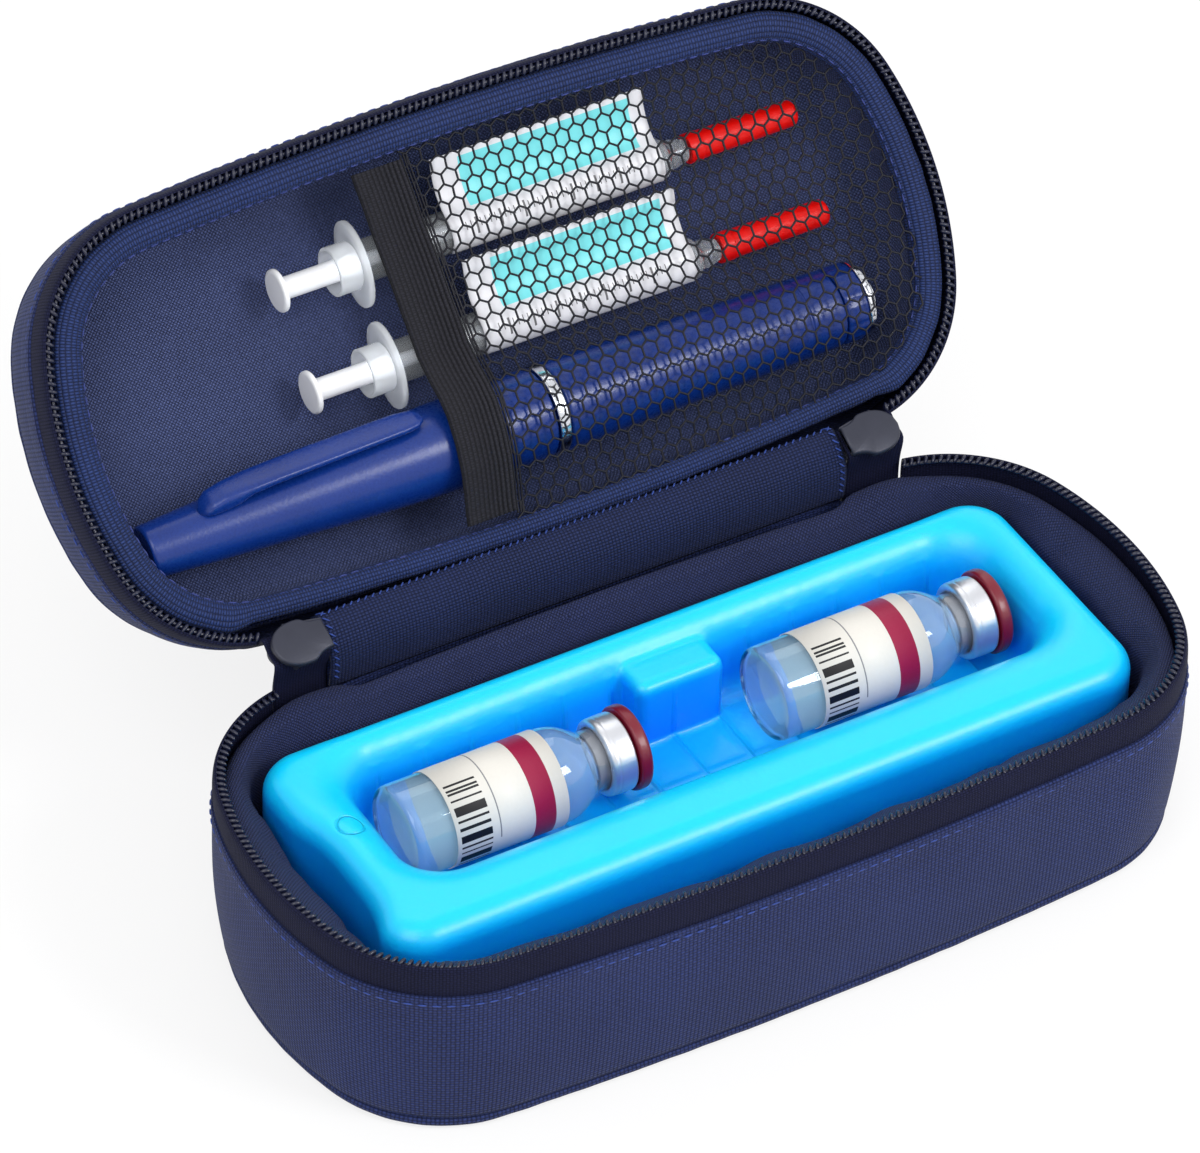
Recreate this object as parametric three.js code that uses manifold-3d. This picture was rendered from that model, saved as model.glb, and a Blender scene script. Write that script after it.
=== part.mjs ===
// Soft cooling case for insulin: a zipped clamshell with a cold pack in its base and a net pocket in its lid.
// Millimetres, +Z up. The origin is the middle of the bottom panel, +X runs along the case, -Y is its front.
import * as THREE from 'three';
import { mergeVertices } from 'three/addons/utils/BufferGeometryUtils.js';
import Module from 'manifold-3d';

// Driving dimensions: outline of the case at its zip
const caseLength = 210;
const caseWidth = 100;
const cornerRadius = 33;
const sideBow = 2.5;
const endBow = 2.1;

// Heights on both sides of the zip, and how far each wall leans in
const baseHeight = 46.8;
const lidHeight = 26;
const wallLean = 2.4;

// Layers of the sewn wall
const fabric = 1;
const foam = 4;
const lining = 0.6;
const panel = 1.5;
const pipingDiameter = 3.2;
const pipingProud = 0.8;
const seat = 0.3;

// Zip
const coilDiameter = 2.2;
const tapeThickness = 0.8;
const tapeShowing = 6;
const tapeLap = 4;
const zipGap = 1.2;
const liningFlare = 2.3;
const liningDrop = 3.5;

// Binding round the mouth of the lid
const bindingInset = 5.4;
const bindingWidth = 4;
const bindingDrop = 0.6;
const bindingDepth = 4.2;

// Cloth hinge
const hingeHalf = 62;
const hingeOut = 0.5;
const hingeUp = 2.8;
const openAngle = 130;

// Zip sliders and their pulls
const sliderLength = 12.5;
const sliderWidth = 8.8;
const sliderPlate = 1;
const sliderGap = 2.6;
const sliderTail = 2 / 3;
const sliderLobe = 0.3;
const sliderNose = 0.35;
const pullBar = 0.7;
const pullReach = 2.4;
const pullEye = 1.9;
const pullNeck = 1.5;
const pullLength = 22;
const pullWidth = 6;
const pullThickness = 1.2;
const pullLean = 12;

// Net pocket
const netStart = 93;
const netDrop = 1.9;
const netBump = 4.2;
const netBumpHalf = 15;
const netThickness = 0.6;
const netPitch = 8;
const netStrand = 1;
const elasticWidth = 11.5;
const elasticThickness = 1.2;

// Cold pack
const packEndGap = 16;
const packSideGap = 18;
const packShift = 1.5;
const packHeight = 36;
const packCorner = 10;
const packBow = 0.6;
const packEdge = 5;
const packWall = 2;
const packEdgeSteps = 3;
const wellLand = 13.5;
const wellWidth = 36;
const wellDepth = 20;
const wellCorner = 9;
const wellDraft = 2;
const wellOff = 2.5;
const wellShift = 6.5;
const wellFlare = 1.75;
const ribHeight = 1;
const ribWidth = 1.4;
const ribPitch = 11;
const blockLength = 21;
const blockShift = 2;
const blockReach = 8;
const blockDrop = 4;
const plugDiameter = 5.6;

// Vials
const vialDiameter = 20.6;
const vialBodyLength = 38;
const vialShoulder = 5;
const vialNeckDiameter = 13.4;
const vialNeckLength = 4;
const vialWall = 1.1;
const vialRound = 1.65;
const labelThickness = 0.25;
const labelGap = 0.2;
const labelStart = 9;
const labelLength = 26;
const crimpDiameter = 17;
const crimpLap = 3.3;
const crimpWall = 0.5;
const stopperRim = 2;
const flipCapDiameter = 18.4;
const flipCapLength = 3;
const flipCapRound = 0.9;
const vialEndGap = 3.8;

// Syringes, measured from the flange along +X
const syringeRows = { upper: -20.3, lower: 1.8 };
const flangeWidth = 19;
const flangeHeight = 13;
const flangeThickness = 1.6;
const flangeGap = 0.3;
const barrelDiameter = 9.2;
const barrelWall = 1;
const collarLength = 5;
const hubDiameter = 6.4;
const hubLength = 4.5;
const needleCapDiameter = 6;
const needleCapLength = 27;
const needleCapTip = 5;
const needleCapWall = 1.5;
const needleCapGap = 23.1;
const needleDiameter = 0.7;
const plungerRod = 4.8;
const plungerOut = 13;
const thumbDiameter = 9.4;
const thumbThickness = 1.6;
const stopperLength = 6;
const plungerTravel = 34;
const cardLength = 51;
const cardWidth = 18;
const cardOverhang = 3.5;
const cardStart = 21.7;
const cardThickness = 0.5;

// Injection pen
const penDiameter = 19.4;
const penTailDiameter = 17;
const penRow = 21.3;
const penEndGap = 14.5;
const penTailGap = 21.6;
const penCapLength = 93;
const penBore = 12;
const penTipDiameter = 11.6;
const penTaper = 66;
const penRingLength = 2.6;
const penRingProud = 0.2;
const penKnobLength = 7;
const penButtonDiameter = 10.4;
const penButtonProud = 2.4;
const penButtonGuide = 1.2;
const penButtonTravel = 2;
const penButtonRound = 0.6;
const penSpigot = 10;
const clipStart = 13;
const clipLength = 50;
const clipWidth = 5.4;
const clipThickness = 2;
const clipRoot = 6;
const clipLift = 1.4;
const clipAngle = 45;

// How finely curves are cut
const sideSteps = 6;
const cornerSteps = 5;
const endSteps = 2;
const roundSteps = 16;
const edgeSteps = 8;
const cordSides = 6;
const bandSteps = 16;

// Heights that several pieces share
const coilRise = seat / 2 + coilDiameter / 2;
const tapeTop = coilRise + coilDiameter / 2 + seat;
const wallTop = coilDiameter + tapeShowing;
const foamTop = wallTop + tapeLap + seat;
const tapeInset = fabric + seat;
const foamInset = fabric + seat;
const liningInset = foamInset + foam + seat;
const pipingInset = wallLean + pipingDiameter / 2 - pipingProud;
const pipingHeight = seat + pipingDiameter / 2;
const wallFoot = pipingHeight + pipingDiameter / 2 + seat;
const panelInset = pipingInset + pipingDiameter / 2 + seat;
const foamFloor = panel + seat;
const liningFloor = foamFloor + foam + seat;
const innerFloor = liningFloor + lining;
const zipEnd = hingeHalf + seat + sliderLength + zipGap;
const penLength = caseLength - penEndGap - penTailGap;
const netEdge = netStart - caseLength / 2;
const syringeFlangeAt = netEdge - seat - elasticWidth - flangeGap - flangeThickness;
const packTop = innerFloor + seat + packHeight;
const wellFloor = packTop - wellDepth;
const packLength = caseLength - 2 * packEndGap;
const packWidth = caseWidth - 2 * packSideGap;
const wellLength = packLength - 2 * wellLand;
const ribCount = 1 + Math.floor((wellLength - 2 * wellCorner) / ribPitch);
const wellLeft = wellOff - wellLength / 2;
const wellRight = wellOff + wellLength / 2;
const shoulderAt = vialBodyLength + vialShoulder;
const vialMouth = shoulderAt + vialNeckLength + crimpLap;
const stopperTop = vialMouth + stopperRim;
const crimpTop = stopperTop + labelGap + crimpWall;
const flipCapFoot = crimpTop + labelGap;
const vialLength = flipCapFoot + flipCapLength;
const vialStarts = { left: wellLeft + vialEndGap, right: wellRight - vialEndGap - vialLength };
const hinge = new THREE.Vector3(0, caseWidth / 2 + hingeOut, baseHeight + hingeUp);

const wasm = await Module();
wasm.setup();

function material(colour, roughness, metalness = 0, opacity = 1) {
  const see = opacity < 1;
  return new THREE.MeshStandardMaterial({ color: colour, roughness, metalness, transparent: see, opacity });
}

const navyCloth = () => material(0x252e54, 0.9);
const liningCloth = () => material(0x343e62, 0.75);
const bindingCloth = () => material(0x233478, 0.85);
const zipCloth = () => material(0x1e1a32, 0.8);
const zipNylon = () => material(0x22213f, 0.4);
const paleFoam = () => material(0xd8d8d2, 0.95);
const sliderMetal = () => material(0x3e404c, 0.5, 0.6);
const clearGlass = () => material(0xdfe9f2, 0.05, 0, 0.35);
const clearPlastic = () => material(0xe6ecf2, 0.2, 0, 0.45);
const chrome = () => material(0xc9ccd2, 0.15, 1);
const penBlue = () => material(0x142d82, 0.35);

function mesh(name, geometry, finish) {
  const piece = new THREE.Mesh(geometry, finish);
  piece.name = name;
  return piece;
}

// Points and outward directions round a rectangle with bowed sides and round corners, from the middle of
// its rear side clockwise. With an opening, the track starts and ends that far from the middle instead.
function track({ length, width, corner, bowSide, bowEnd }, opening = 0) {
  const cornerX = length / 2 - corner - bowEnd;
  const cornerY = width / 2 - corner - bowSide;
  const sideRadius = (cornerX ** 2 + bowSide ** 2) / (2 * bowSide);
  const endRadius = (cornerY ** 2 + bowEnd ** 2) / (2 * bowEnd);
  const sideTurn = Math.asin(cornerX / sideRadius);
  const endTurn = Math.asin(cornerY / endRadius);
  const sideCentre = width / 2 - corner - sideRadius;
  const endCentre = length / 2 - corner - endRadius;
  const quarter = Math.PI / 2;
  const side = sideRadius + corner;
  const end = endRadius + corner;
  const onCorner = opening > side * Math.sin(sideTurn);
  const start = onCorner ? Math.asin((opening - cornerX) / corner) : Math.asin(opening / side);
  const cornerStart = Math.max(start, sideTurn);
  const points = [];
  const add = (x, y, radius, turn) => {
    const out = new THREE.Vector2(Math.sin(turn), Math.cos(turn));
    points.push({ at: new THREE.Vector2(x, y).addScaledVector(out, radius), out });
  };
  const arc = (x, y, radius, from, to, steps) => {
    for (let i = 0; i < steps; i += 1) {
      add(x, y, radius, from + ((to - from) * i) / steps);
    }
  };
  if (!onCorner) {
    arc(0, sideCentre, side, start, sideTurn, sideSteps / 2);
  }
  arc(cornerX, cornerY, corner, cornerStart, quarter - endTurn, cornerSteps);
  arc(endCentre, 0, end, quarter - endTurn, quarter + endTurn, endSteps);
  arc(cornerX, -cornerY, corner, quarter + endTurn, 2 * quarter - sideTurn, cornerSteps);
  arc(0, -sideCentre, side, 2 * quarter - sideTurn, 2 * quarter + sideTurn, sideSteps);
  arc(-cornerX, -cornerY, corner, 2 * quarter + sideTurn, 3 * quarter - endTurn, cornerSteps);
  arc(-endCentre, 0, end, 3 * quarter - endTurn, 3 * quarter + endTurn, endSteps);
  arc(-cornerX, cornerY, corner, 3 * quarter + endTurn, 4 * quarter - cornerStart, cornerSteps);
  if (!onCorner) {
    arc(0, sideCentre, side, 4 * quarter - sideTurn, 4 * quarter - start, sideSteps / 2);
  }
  if (opening > 0) {
    points.push(mirrored(points[0]));
  }
  const sag = (x) => side - Math.sqrt(side ** 2 - x ** 2);
  return { points, open: opening > 0, sag };
}

const across = (v) => new THREE.Vector2(-v.x, v.y);
const mirrored = ({ at, out }) => ({ at: across(at), out: across(out) });

const caseOutline = {
  length: caseLength, width: caseWidth, corner: cornerRadius, bowSide: sideBow, bowEnd: endBow,
};
const caseTrack = track(caseOutline);
const zipTrack = track(caseOutline, zipEnd);

const inward = (point, inset) => point.at.clone().addScaledVector(point.out, -inset);

// A closed body from corners and triangles, turned so that its faces point out
function body(corners, triangles) {
  let volume = 0;
  for (const [a, b, c] of triangles) {
    volume += corners[a].dot(corners[b].clone().cross(corners[c]));
  }
  const index = triangles.flatMap(([a, b, c]) => (volume > 0 ? [a, b, c] : [a, c, b]));
  const geometry = new THREE.BufferGeometry();
  geometry.setAttribute('position', new THREE.Float32BufferAttribute(corners.flatMap((p) => p.toArray()), 3));
  geometry.setIndex(index);
  return geometry;
}

function joinLoops(triangles, a, b, count, closed) {
  const steps = closed ? count : count - 1;
  for (let i = 0; i < steps; i += 1) {
    const j = (i + 1) % count;
    triangles.push([a + i, b + i, b + j], [a + i, b + j, a + j]);
  }
}

// A section of [inset, height] corners carried along a track
function sweep(path, section) {
  const { points, open } = path;
  const size = section.length;
  const corners = points.flatMap((point) => section.map(([inset, z]) => {
    const at = inward(point, inset);
    return new THREE.Vector3(at.x, at.y, z);
  }));
  const triangles = [];
  const spans = open ? points.length - 1 : points.length;
  for (let i = 0; i < spans; i += 1) {
    joinLoops(triangles, i * size, ((i + 1) % points.length) * size, size, true);
  }
  if (open) {
    const flat = section.map(([inset, z]) => new THREE.Vector2(inset, z));
    const last = (points.length - 1) * size;
    const turned = THREE.ShapeUtils.isClockWise(flat);
    for (const [a, b, c] of THREE.ShapeUtils.triangulateShape(flat, [])) {
      triangles.push(turned ? [a, b, c] : [a, c, b]);
      triangles.push(turned ? [last + a, last + c, last + b] : [last + a, last + b, last + c]);
    }
    return alignCaps(corners, triangles, size, points.length);
  }
  return body(corners, triangles);
}

// The caps of an open sweep take the turn that matches the sides they close
function alignCaps(corners, triangles, size, count) {
  const sides = 2 * size * (count - 1);
  const edges = ([a, b, c]) => [`${a},${b}`, `${b},${c}`, `${c},${a}`];
  const used = new Set(triangles.slice(0, sides).flatMap(edges));
  const caps = triangles.slice(sides);
  const clash = caps.some((triangle) => edges(triangle).some((edge) => used.has(edge)));
  const turned = caps.map(([a, b, c]) => (clash ? [a, c, b] : [a, b, c]));
  return body(corners, [...triangles.slice(0, sides), ...turned]);
}

// Loops of [inset, height] joined one to the next, with the first and the last closed over
function loft(path, levels, shift = new THREE.Vector2()) {
  const { points } = path;
  const count = points.length;
  const corners = levels.flatMap(([inset, z]) => points.map((point) => {
    const at = inward(point, inset).add(shift);
    return new THREE.Vector3(at.x, at.y, z);
  }));
  const triangles = [];
  for (let i = 0; i + 1 < levels.length; i += 1) {
    joinLoops(triangles, i * count, (i + 1) * count, count, true);
  }
  const cap = (level, turned) => {
    const flat = points.map((point) => inward(point, levels[level][0]));
    const from = level * count;
    for (const [a, b, c] of THREE.ShapeUtils.triangulateShape(flat, [])) {
      triangles.push(turned ? [from + a, from + c, from + b] : [from + a, from + b, from + c]);
    }
  };
  cap(0, true);
  cap(levels.length - 1, false);
  return body(corners, triangles);
}

function solidOf(geometry) {
  const bare = geometry.clone();
  bare.deleteAttribute('normal');
  bare.deleteAttribute('uv');
  const merged = mergeVertices(bare, 1e-5);
  const vertProperties = new Float32Array(merged.attributes.position.array);
  const triVerts = new Uint32Array(merged.index.array);
  return new wasm.Manifold(new wasm.Mesh({ numProp: 3, vertProperties, triVerts }));
}

function geometryOf(solid) {
  const { vertProperties, triVerts, numProp } = solid.getMesh();
  const geometry = new THREE.BufferGeometry();
  const corners = [];
  for (let i = 0; i < vertProperties.length; i += numProp) {
    corners.push(vertProperties[i], vertProperties[i + 1], vertProperties[i + 2]);
  }
  geometry.setAttribute('position', new THREE.Float32BufferAttribute(corners, 3));
  geometry.setIndex(Array.from(triVerts));
  return geometry;
}

const join = (first, ...others) => others.reduce((whole, other) => whole.add(solidOf(other)), solidOf(first));

function box(x, y, z, dx, dy, dz) {
  return new THREE.BoxGeometry(dx, dy, dz).translate(x, y, z);
}

function extruded(shape, depth) {
  return new THREE.ExtrudeGeometry(shape, { depth, bevelEnabled: false, curveSegments: edgeSteps });
}

// A turned piece along +X from its [distance, radius] profile
function turned(profile, steps = roundSteps) {
  const points = profile.map(([along, radius]) => new THREE.Vector2(radius, along));
  return new THREE.LatheGeometry(points, steps).rotateZ(-Math.PI / 2);
}

// A strip of cloth along X: middle(x) is its line in the YZ plane at that place
function strip(middle, thickness, halfLength) {
  const loops = Array.from({ length: sideSteps + 1 }, (_, i) => {
    const x = halfLength * ((2 * i) / sideSteps - 1);
    const line = middle(x);
    const edge = (sign) => line.map((p, j) => {
      const before = line[Math.max(j - 1, 0)];
      const after = line[Math.min(j + 1, line.length - 1)];
      const along = after.clone().sub(before).normalize();
      const off = new THREE.Vector2(-along.y, along.x).multiplyScalar((sign * thickness) / 2);
      return new THREE.Vector3(x, p.x + off.x, p.y + off.y);
    });
    return [...edge(1), ...edge(-1).reverse()];
  });
  const size = loops[0].length;
  const triangles = [];
  for (let i = 0; i < sideSteps; i += 1) {
    joinLoops(triangles, i * size, (i + 1) * size, size, true);
  }
  const last = sideSteps * size;
  for (let j = 0; j + 1 < size / 2; j += 1) {
    const k = size - 1 - j;
    triangles.push([j, j + 1, k], [j + 1, k - 1, k]);
    triangles.push([last + j, last + k, last + j + 1], [last + j + 1, last + k, last + k - 1]);
  }
  return body(loops.flat(), triangles);
}

function cordSection(inset, z, radius) {
  return Array.from({ length: cordSides }, (_, i) => {
    const turn = (2 * Math.PI * i) / cordSides;
    const reach = radius / Math.cos(Math.PI / cordSides);
    return [inset + reach * Math.cos(turn), z + reach * Math.sin(turn)];
  });
}

// How far a wall of that depth has leaned in at a height off the zip
const leanIn = (rise, depth) => (wallLean * rise) / depth;

// Half of the case: sewn walls, foam and zip. Heights run from the zip to the panel, and place() turns
// such a height into Z, up for the lid and down for the base.
function shellHalf(side, depth, panelName, place) {
  const lean = (rise) => leanIn(rise, depth);
  const at = (inset, rise) => [inset, place(rise)];
  const wallEnd = depth - wallFoot;
  const wall = [
    at(lean(wallTop), wallTop),
    at(lean(wallEnd), wallEnd),
    at(lean(wallEnd) + fabric, wallEnd),
    at(lean(wallTop) + fabric, wallTop),
  ];
  const tapeEnd = wallTop + tapeLap;
  const tape = [
    at(tapeInset, tapeTop),
    at(tapeInset + lean(tapeEnd), tapeEnd),
    at(tapeInset + tapeThickness + lean(tapeEnd), tapeEnd),
    at(tapeInset + tapeThickness, tapeTop),
  ];
  const foamFoot = depth - foamFloor;
  const foamLevels = [
    at(panelInset, foamFoot),
    at(panelInset, wallEnd),
    at(lean(wallEnd) + foamInset, wallEnd - seat),
    at(lean(foamTop) + foamInset, foamTop),
    at(lean(foamTop) + foamInset + foam, foamTop),
    at(lean(foamFoot - foam) + foamInset + foam, foamFoot - foam),
  ];
  const liningFoot = depth - liningFloor;
  const lidSide = side === 'lid';
  const mouth = lidSide ? bindingInset : liningInset - liningFlare;
  const liningRim = lidSide ? bindingDrop + bindingDepth + seat : liningDrop;
  const liningLevels = [
    at(lean(liningFoot) + liningInset, liningFoot),
    at(lean(foamTop) + liningInset, foamTop),
    at(mouth, liningRim),
    at(mouth + lining, liningRim),
    at(lean(foamTop) + liningInset + lining, foamTop),
    at(lean(liningFoot) + liningInset + lining, liningFoot - lining),
  ];
  const panelLevels = [at(panelInset, depth), at(panelInset, depth - panel)];
  const welt = cordSection(pipingInset, place(depth - pipingHeight), pipingDiameter / 2);
  const coil = cordSection(tapeInset + tapeThickness / 2, place(coilRise), coilDiameter / 2);
  return [
    mesh(`${side}_side_wall`, sweep(caseTrack, wall), navyCloth()),
    mesh(panelName, loft(caseTrack, panelLevels), navyCloth()),
    mesh(`${side}_piping`, sweep(caseTrack, welt), navyCloth()),
    mesh(`${side}_foam`, loft(caseTrack, foamLevels), paleFoam()),
    mesh(`${side}_lining`, loft(caseTrack, liningLevels), liningCloth()),
    mesh(`${side}_zip_tape`, sweep(zipTrack, tape), zipCloth()),
    mesh(`${side}_zip_coil`, sweep(zipTrack, coil), zipNylon()),
  ];
}

function bindingRing(place) {
  const soft = bindingWidth / 4;
  const near = place(bindingDrop);
  const far = place(bindingDrop + bindingDepth);
  const section = [
    [bindingInset + soft, near],
    [bindingInset + bindingWidth - soft, near],
    [bindingInset + bindingWidth, near + soft],
    [bindingInset + bindingWidth, far - soft],
    [bindingInset + bindingWidth - soft, far],
    [bindingInset, far],
    [bindingInset, near + soft],
  ];
  return mesh('lid_binding', sweep(caseTrack, section), bindingCloth());
}

// Where a point of the rear wall lies: a depth in from the rim, and a rise over the zip.
// On the lid it turns open.
function onBase(x, inset, rise) {
  return new THREE.Vector2(caseWidth / 2 - caseTrack.sag(x) - inset, baseHeight + rise);
}

function onLid(x, inset, rise, share = 1) {
  const axis = new THREE.Vector2(hinge.y, hinge.z);
  return onBase(x, inset, rise).rotateAround(axis, -share * THREE.MathUtils.degToRad(openAngle));
}

// Outside, one cloth runs from wall to wall. Inside, the lining crosses from the base to the lid's binding.
function clothHinge() {
  const lap = tapeInset + tapeThickness / 2;
  const lapEnd = wallTop + tapeLap;
  const outer = (x) => [
    onBase(x, lap + leanIn(lapEnd, baseHeight), -lapEnd),
    onBase(x, lap + leanIn(wallTop, baseHeight), -wallTop),
    onBase(x, lap, hingeUp),
    onLid(x, lap, hingeUp),
    onLid(x, lap + leanIn(wallTop, lidHeight), wallTop),
    onLid(x, lap + leanIn(lapEnd, lidHeight), lapEnd),
  ];
  const step = bindingInset - seat - tapeThickness;
  const inner = (x) => [
    onBase(x, liningInset - liningFlare, seat + tapeThickness - liningDrop),
    onBase(x, step, bindingDrop),
    onLid(x, step, hingeUp, 1 / 2),
    onLid(x, step, bindingDrop),
    onLid(x, step, bindingDrop + bindingDepth / 2),
  ];
  return [
    mesh('hinge_cloth', strip(outer, tapeThickness, hingeHalf), navyCloth()),
    mesh('hinge_lining', strip(inner, tapeThickness, hingeHalf), liningCloth()),
  ];
}

// A slider has an inner and an outer plate on a post, and two ears with a bar for its pull.
// It is drawn with the case shut: inside is -Y, and the narrow end points to the hinge.
function sliderSolid() {
  const half = sliderLength / 2;
  const plate = new THREE.Shape();
  const tail = (sliderTail * sliderWidth) / 2;
  const lobe = sliderLobe * half;
  const nose = sliderNose * sliderWidth;
  plate.moveTo(-half, -tail);
  plate.lineTo(lobe, -sliderWidth / 2);
  plate.absarc(half - nose, 0, nose, -Math.PI / 3, Math.PI / 3, false);
  plate.lineTo(lobe, sliderWidth / 2);
  plate.lineTo(-half, tail);
  const plateAt = (y) => extruded(plate, sliderPlate).rotateX(Math.PI / 2).translate(0, y + sliderPlate, 0);
  const sink = sliderPlate / 2;
  const post = box(-half / 2, 0, 0, half / 2, sliderGap + 2 * sink, sliderWidth / 4);
  const outside = sliderGap / 2 + sliderPlate;
  const barAt = outside + pullReach;
  const earReach = pullReach + 2 * pullBar + sink;
  const earAt = pullWidth / 2 + seat + sliderPlate / 2;
  const ear = (x) => box(x, outside + earReach / 2 - sink, 0, sliderPlate, earReach, 4 * pullBar);
  const bar = new THREE.CylinderGeometry(pullBar, pullBar, 2 * earAt, edgeSteps)
    .rotateZ(Math.PI / 2).translate(0, barAt, 0);
  const inner = plateAt(-sliderGap / 2 - sliderPlate);
  return geometryOf(join(inner, plateAt(sliderGap / 2), post, ear(-earAt), ear(earAt), bar));
}

// A pull hangs from the slider's bar: an eye round the bar, and a flat tab with a hole
function pullSolid() {
  const eye = new THREE.Shape().absarc(0, 0, pullEye, 0, 2 * Math.PI, false);
  eye.holes.push(new THREE.Path().absarc(0, 0, pullBar + seat, 0, 2 * Math.PI, true));
  const ring = extruded(eye, pullWidth).rotateY(Math.PI / 2).translate(-pullWidth / 2, 0, 0);
  const tab = new THREE.Shape();
  const round = pullWidth / 2;
  const end = round - pullLength;
  tab.moveTo(-round, -pullNeck);
  tab.lineTo(-round, end);
  tab.absarc(0, end, round, Math.PI, 2 * Math.PI, false);
  tab.lineTo(round, -pullNeck);
  tab.holes.push(new THREE.Path().absarc(0, end, round / 2, 0, 2 * Math.PI, true));
  const flat = extruded(tab, pullThickness).rotateX(Math.PI / 2).translate(0, pullThickness / 2, 0);
  return geometryOf(join(ring, flat));
}

function zipSlider(name, x, facing) {
  const group = new THREE.Group();
  group.position.set(x, hinge.y, hinge.z);
  group.rotation.x = -THREE.MathUtils.degToRad(openAngle / 2);
  const runway = -caseTrack.sag(x) - hingeOut - tapeInset - tapeThickness / 2;
  const slider = mesh(`${name}_slider`, sliderSolid(), sliderMetal());
  slider.position.y = runway;
  slider.rotation.y = facing > 0 ? 0 : Math.PI;
  const pull = mesh(`${name}_pull`, pullSolid(), sliderMetal());
  pull.position.y = runway + sliderGap / 2 + sliderPlate + pullReach;
  pull.rotation.x = THREE.MathUtils.degToRad(openAngle / 2 - 90 + pullLean) + Math.PI / 2;
  group.add(slider, pull);
  return group;
}

// The net is cut from one sheet inside the binding, with six-sided gaps
// The pocket lies flat apart from where it rises over the pen
function netRise(y) {
  const off = Math.min(Math.abs(y - penRow) / netBumpHalf, 1);
  return netDrop - netBump * Math.cos((Math.PI / 2) * off) ** 2;
}

function netPocket(place) {
  const rimInset = bindingInset + bindingWidth + seat;
  const rim = caseTrack.points.map((point) => inward(point, rimInset));
  const first = rim.findIndex((p, i) => p.x > netEdge && rim.at(i - 1).x <= netEdge);
  const ordered = [...rim.slice(first), ...rim.slice(0, first)].filter((p) => p.x > netEdge + seat);
  const edge = rim[0].y - sideBow / 2;
  const mouth = Array.from({ length: bandSteps + 1 }, (_, i) => edge * ((2 * i) / bandSteps - 1));
  const sheet = new THREE.Shape([
    ...ordered.toReversed(),
    ...mouth.toReversed().map((y) => new THREE.Vector2(netEdge, y)),
  ]);
  const reach = (netPitch - netStrand) / Math.sqrt(3);
  const margin = reach + netStrand;
  const clear = (x, y) => x > netEdge + margin
    && ordered.every((p, i) => {
      const q = ordered.at(i - 1);
      const along = p.clone().sub(q);
      const off = (along.x * (y - q.y) - along.y * (x - q.x)) / along.length();
      return i === 0 || off < -margin;
    })
    && Math.abs(y) < edge - margin;
  const rowPitch = (netPitch * Math.sqrt(3)) / 2;
  const rows = Math.floor(caseWidth / 2 / rowPitch);
  const columns = Math.ceil((caseLength / 2 - netEdge) / netPitch);
  for (let row = -rows; row <= rows; row += 1) {
    for (let column = 0; column <= columns; column += 1) {
      const x = netEdge + margin + seat + (column + (row % 2 === 0 ? 0 : 0.5)) * netPitch;
      const y = row * rowPitch;
      if (clear(x, y)) {
        sheet.holes.push(hexagon(x, y, reach));
      }
    }
  }
  const net = extruded(sheet, netThickness);
  const points = net.getAttribute('position');
  for (let i = 0; i < points.count; i += 1) {
    points.setZ(i, points.getZ(i) + place(netRise(points.getY(i))));
  }
  const bandX = netEdge - seat - elasticWidth / 2;
  const middle = mouth.map((y) => new THREE.Vector2(y, place(netRise(y) + netThickness / 2)));
  const band = strip(() => middle, elasticThickness, elasticWidth / 2).translate(bandX, 0, 0);
  return [
    mesh('pocket_net', net, material(0x1e2028, 0.7)),
    mesh('pocket_elastic', band, material(0x2d2d37, 0.9)),
  ];
}

function hexagon(x, y, reach) {
  const corner = (i) => {
    const turn = (Math.PI / 3) * (i + 0.5);
    return new THREE.Vector2(x + reach * Math.cos(turn), y + reach * Math.sin(turn));
  };
  return new THREE.Path(Array.from({ length: 6 }, (_, i) => corner(5 - i)));
}

// Rounded edge of the cold pack as levels of [inset, height]
function roundedEdge(from, to, radius, steps, grow = 0) {
  return Array.from({ length: steps + 1 }, (_, i) => {
    const turn = (Math.PI / 2) * (i / steps);
    const inset = radius * (1 - Math.sin(turn)) + grow;
    return [inset, from + (to - from) * (1 - Math.cos(turn))];
  });
}

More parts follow.
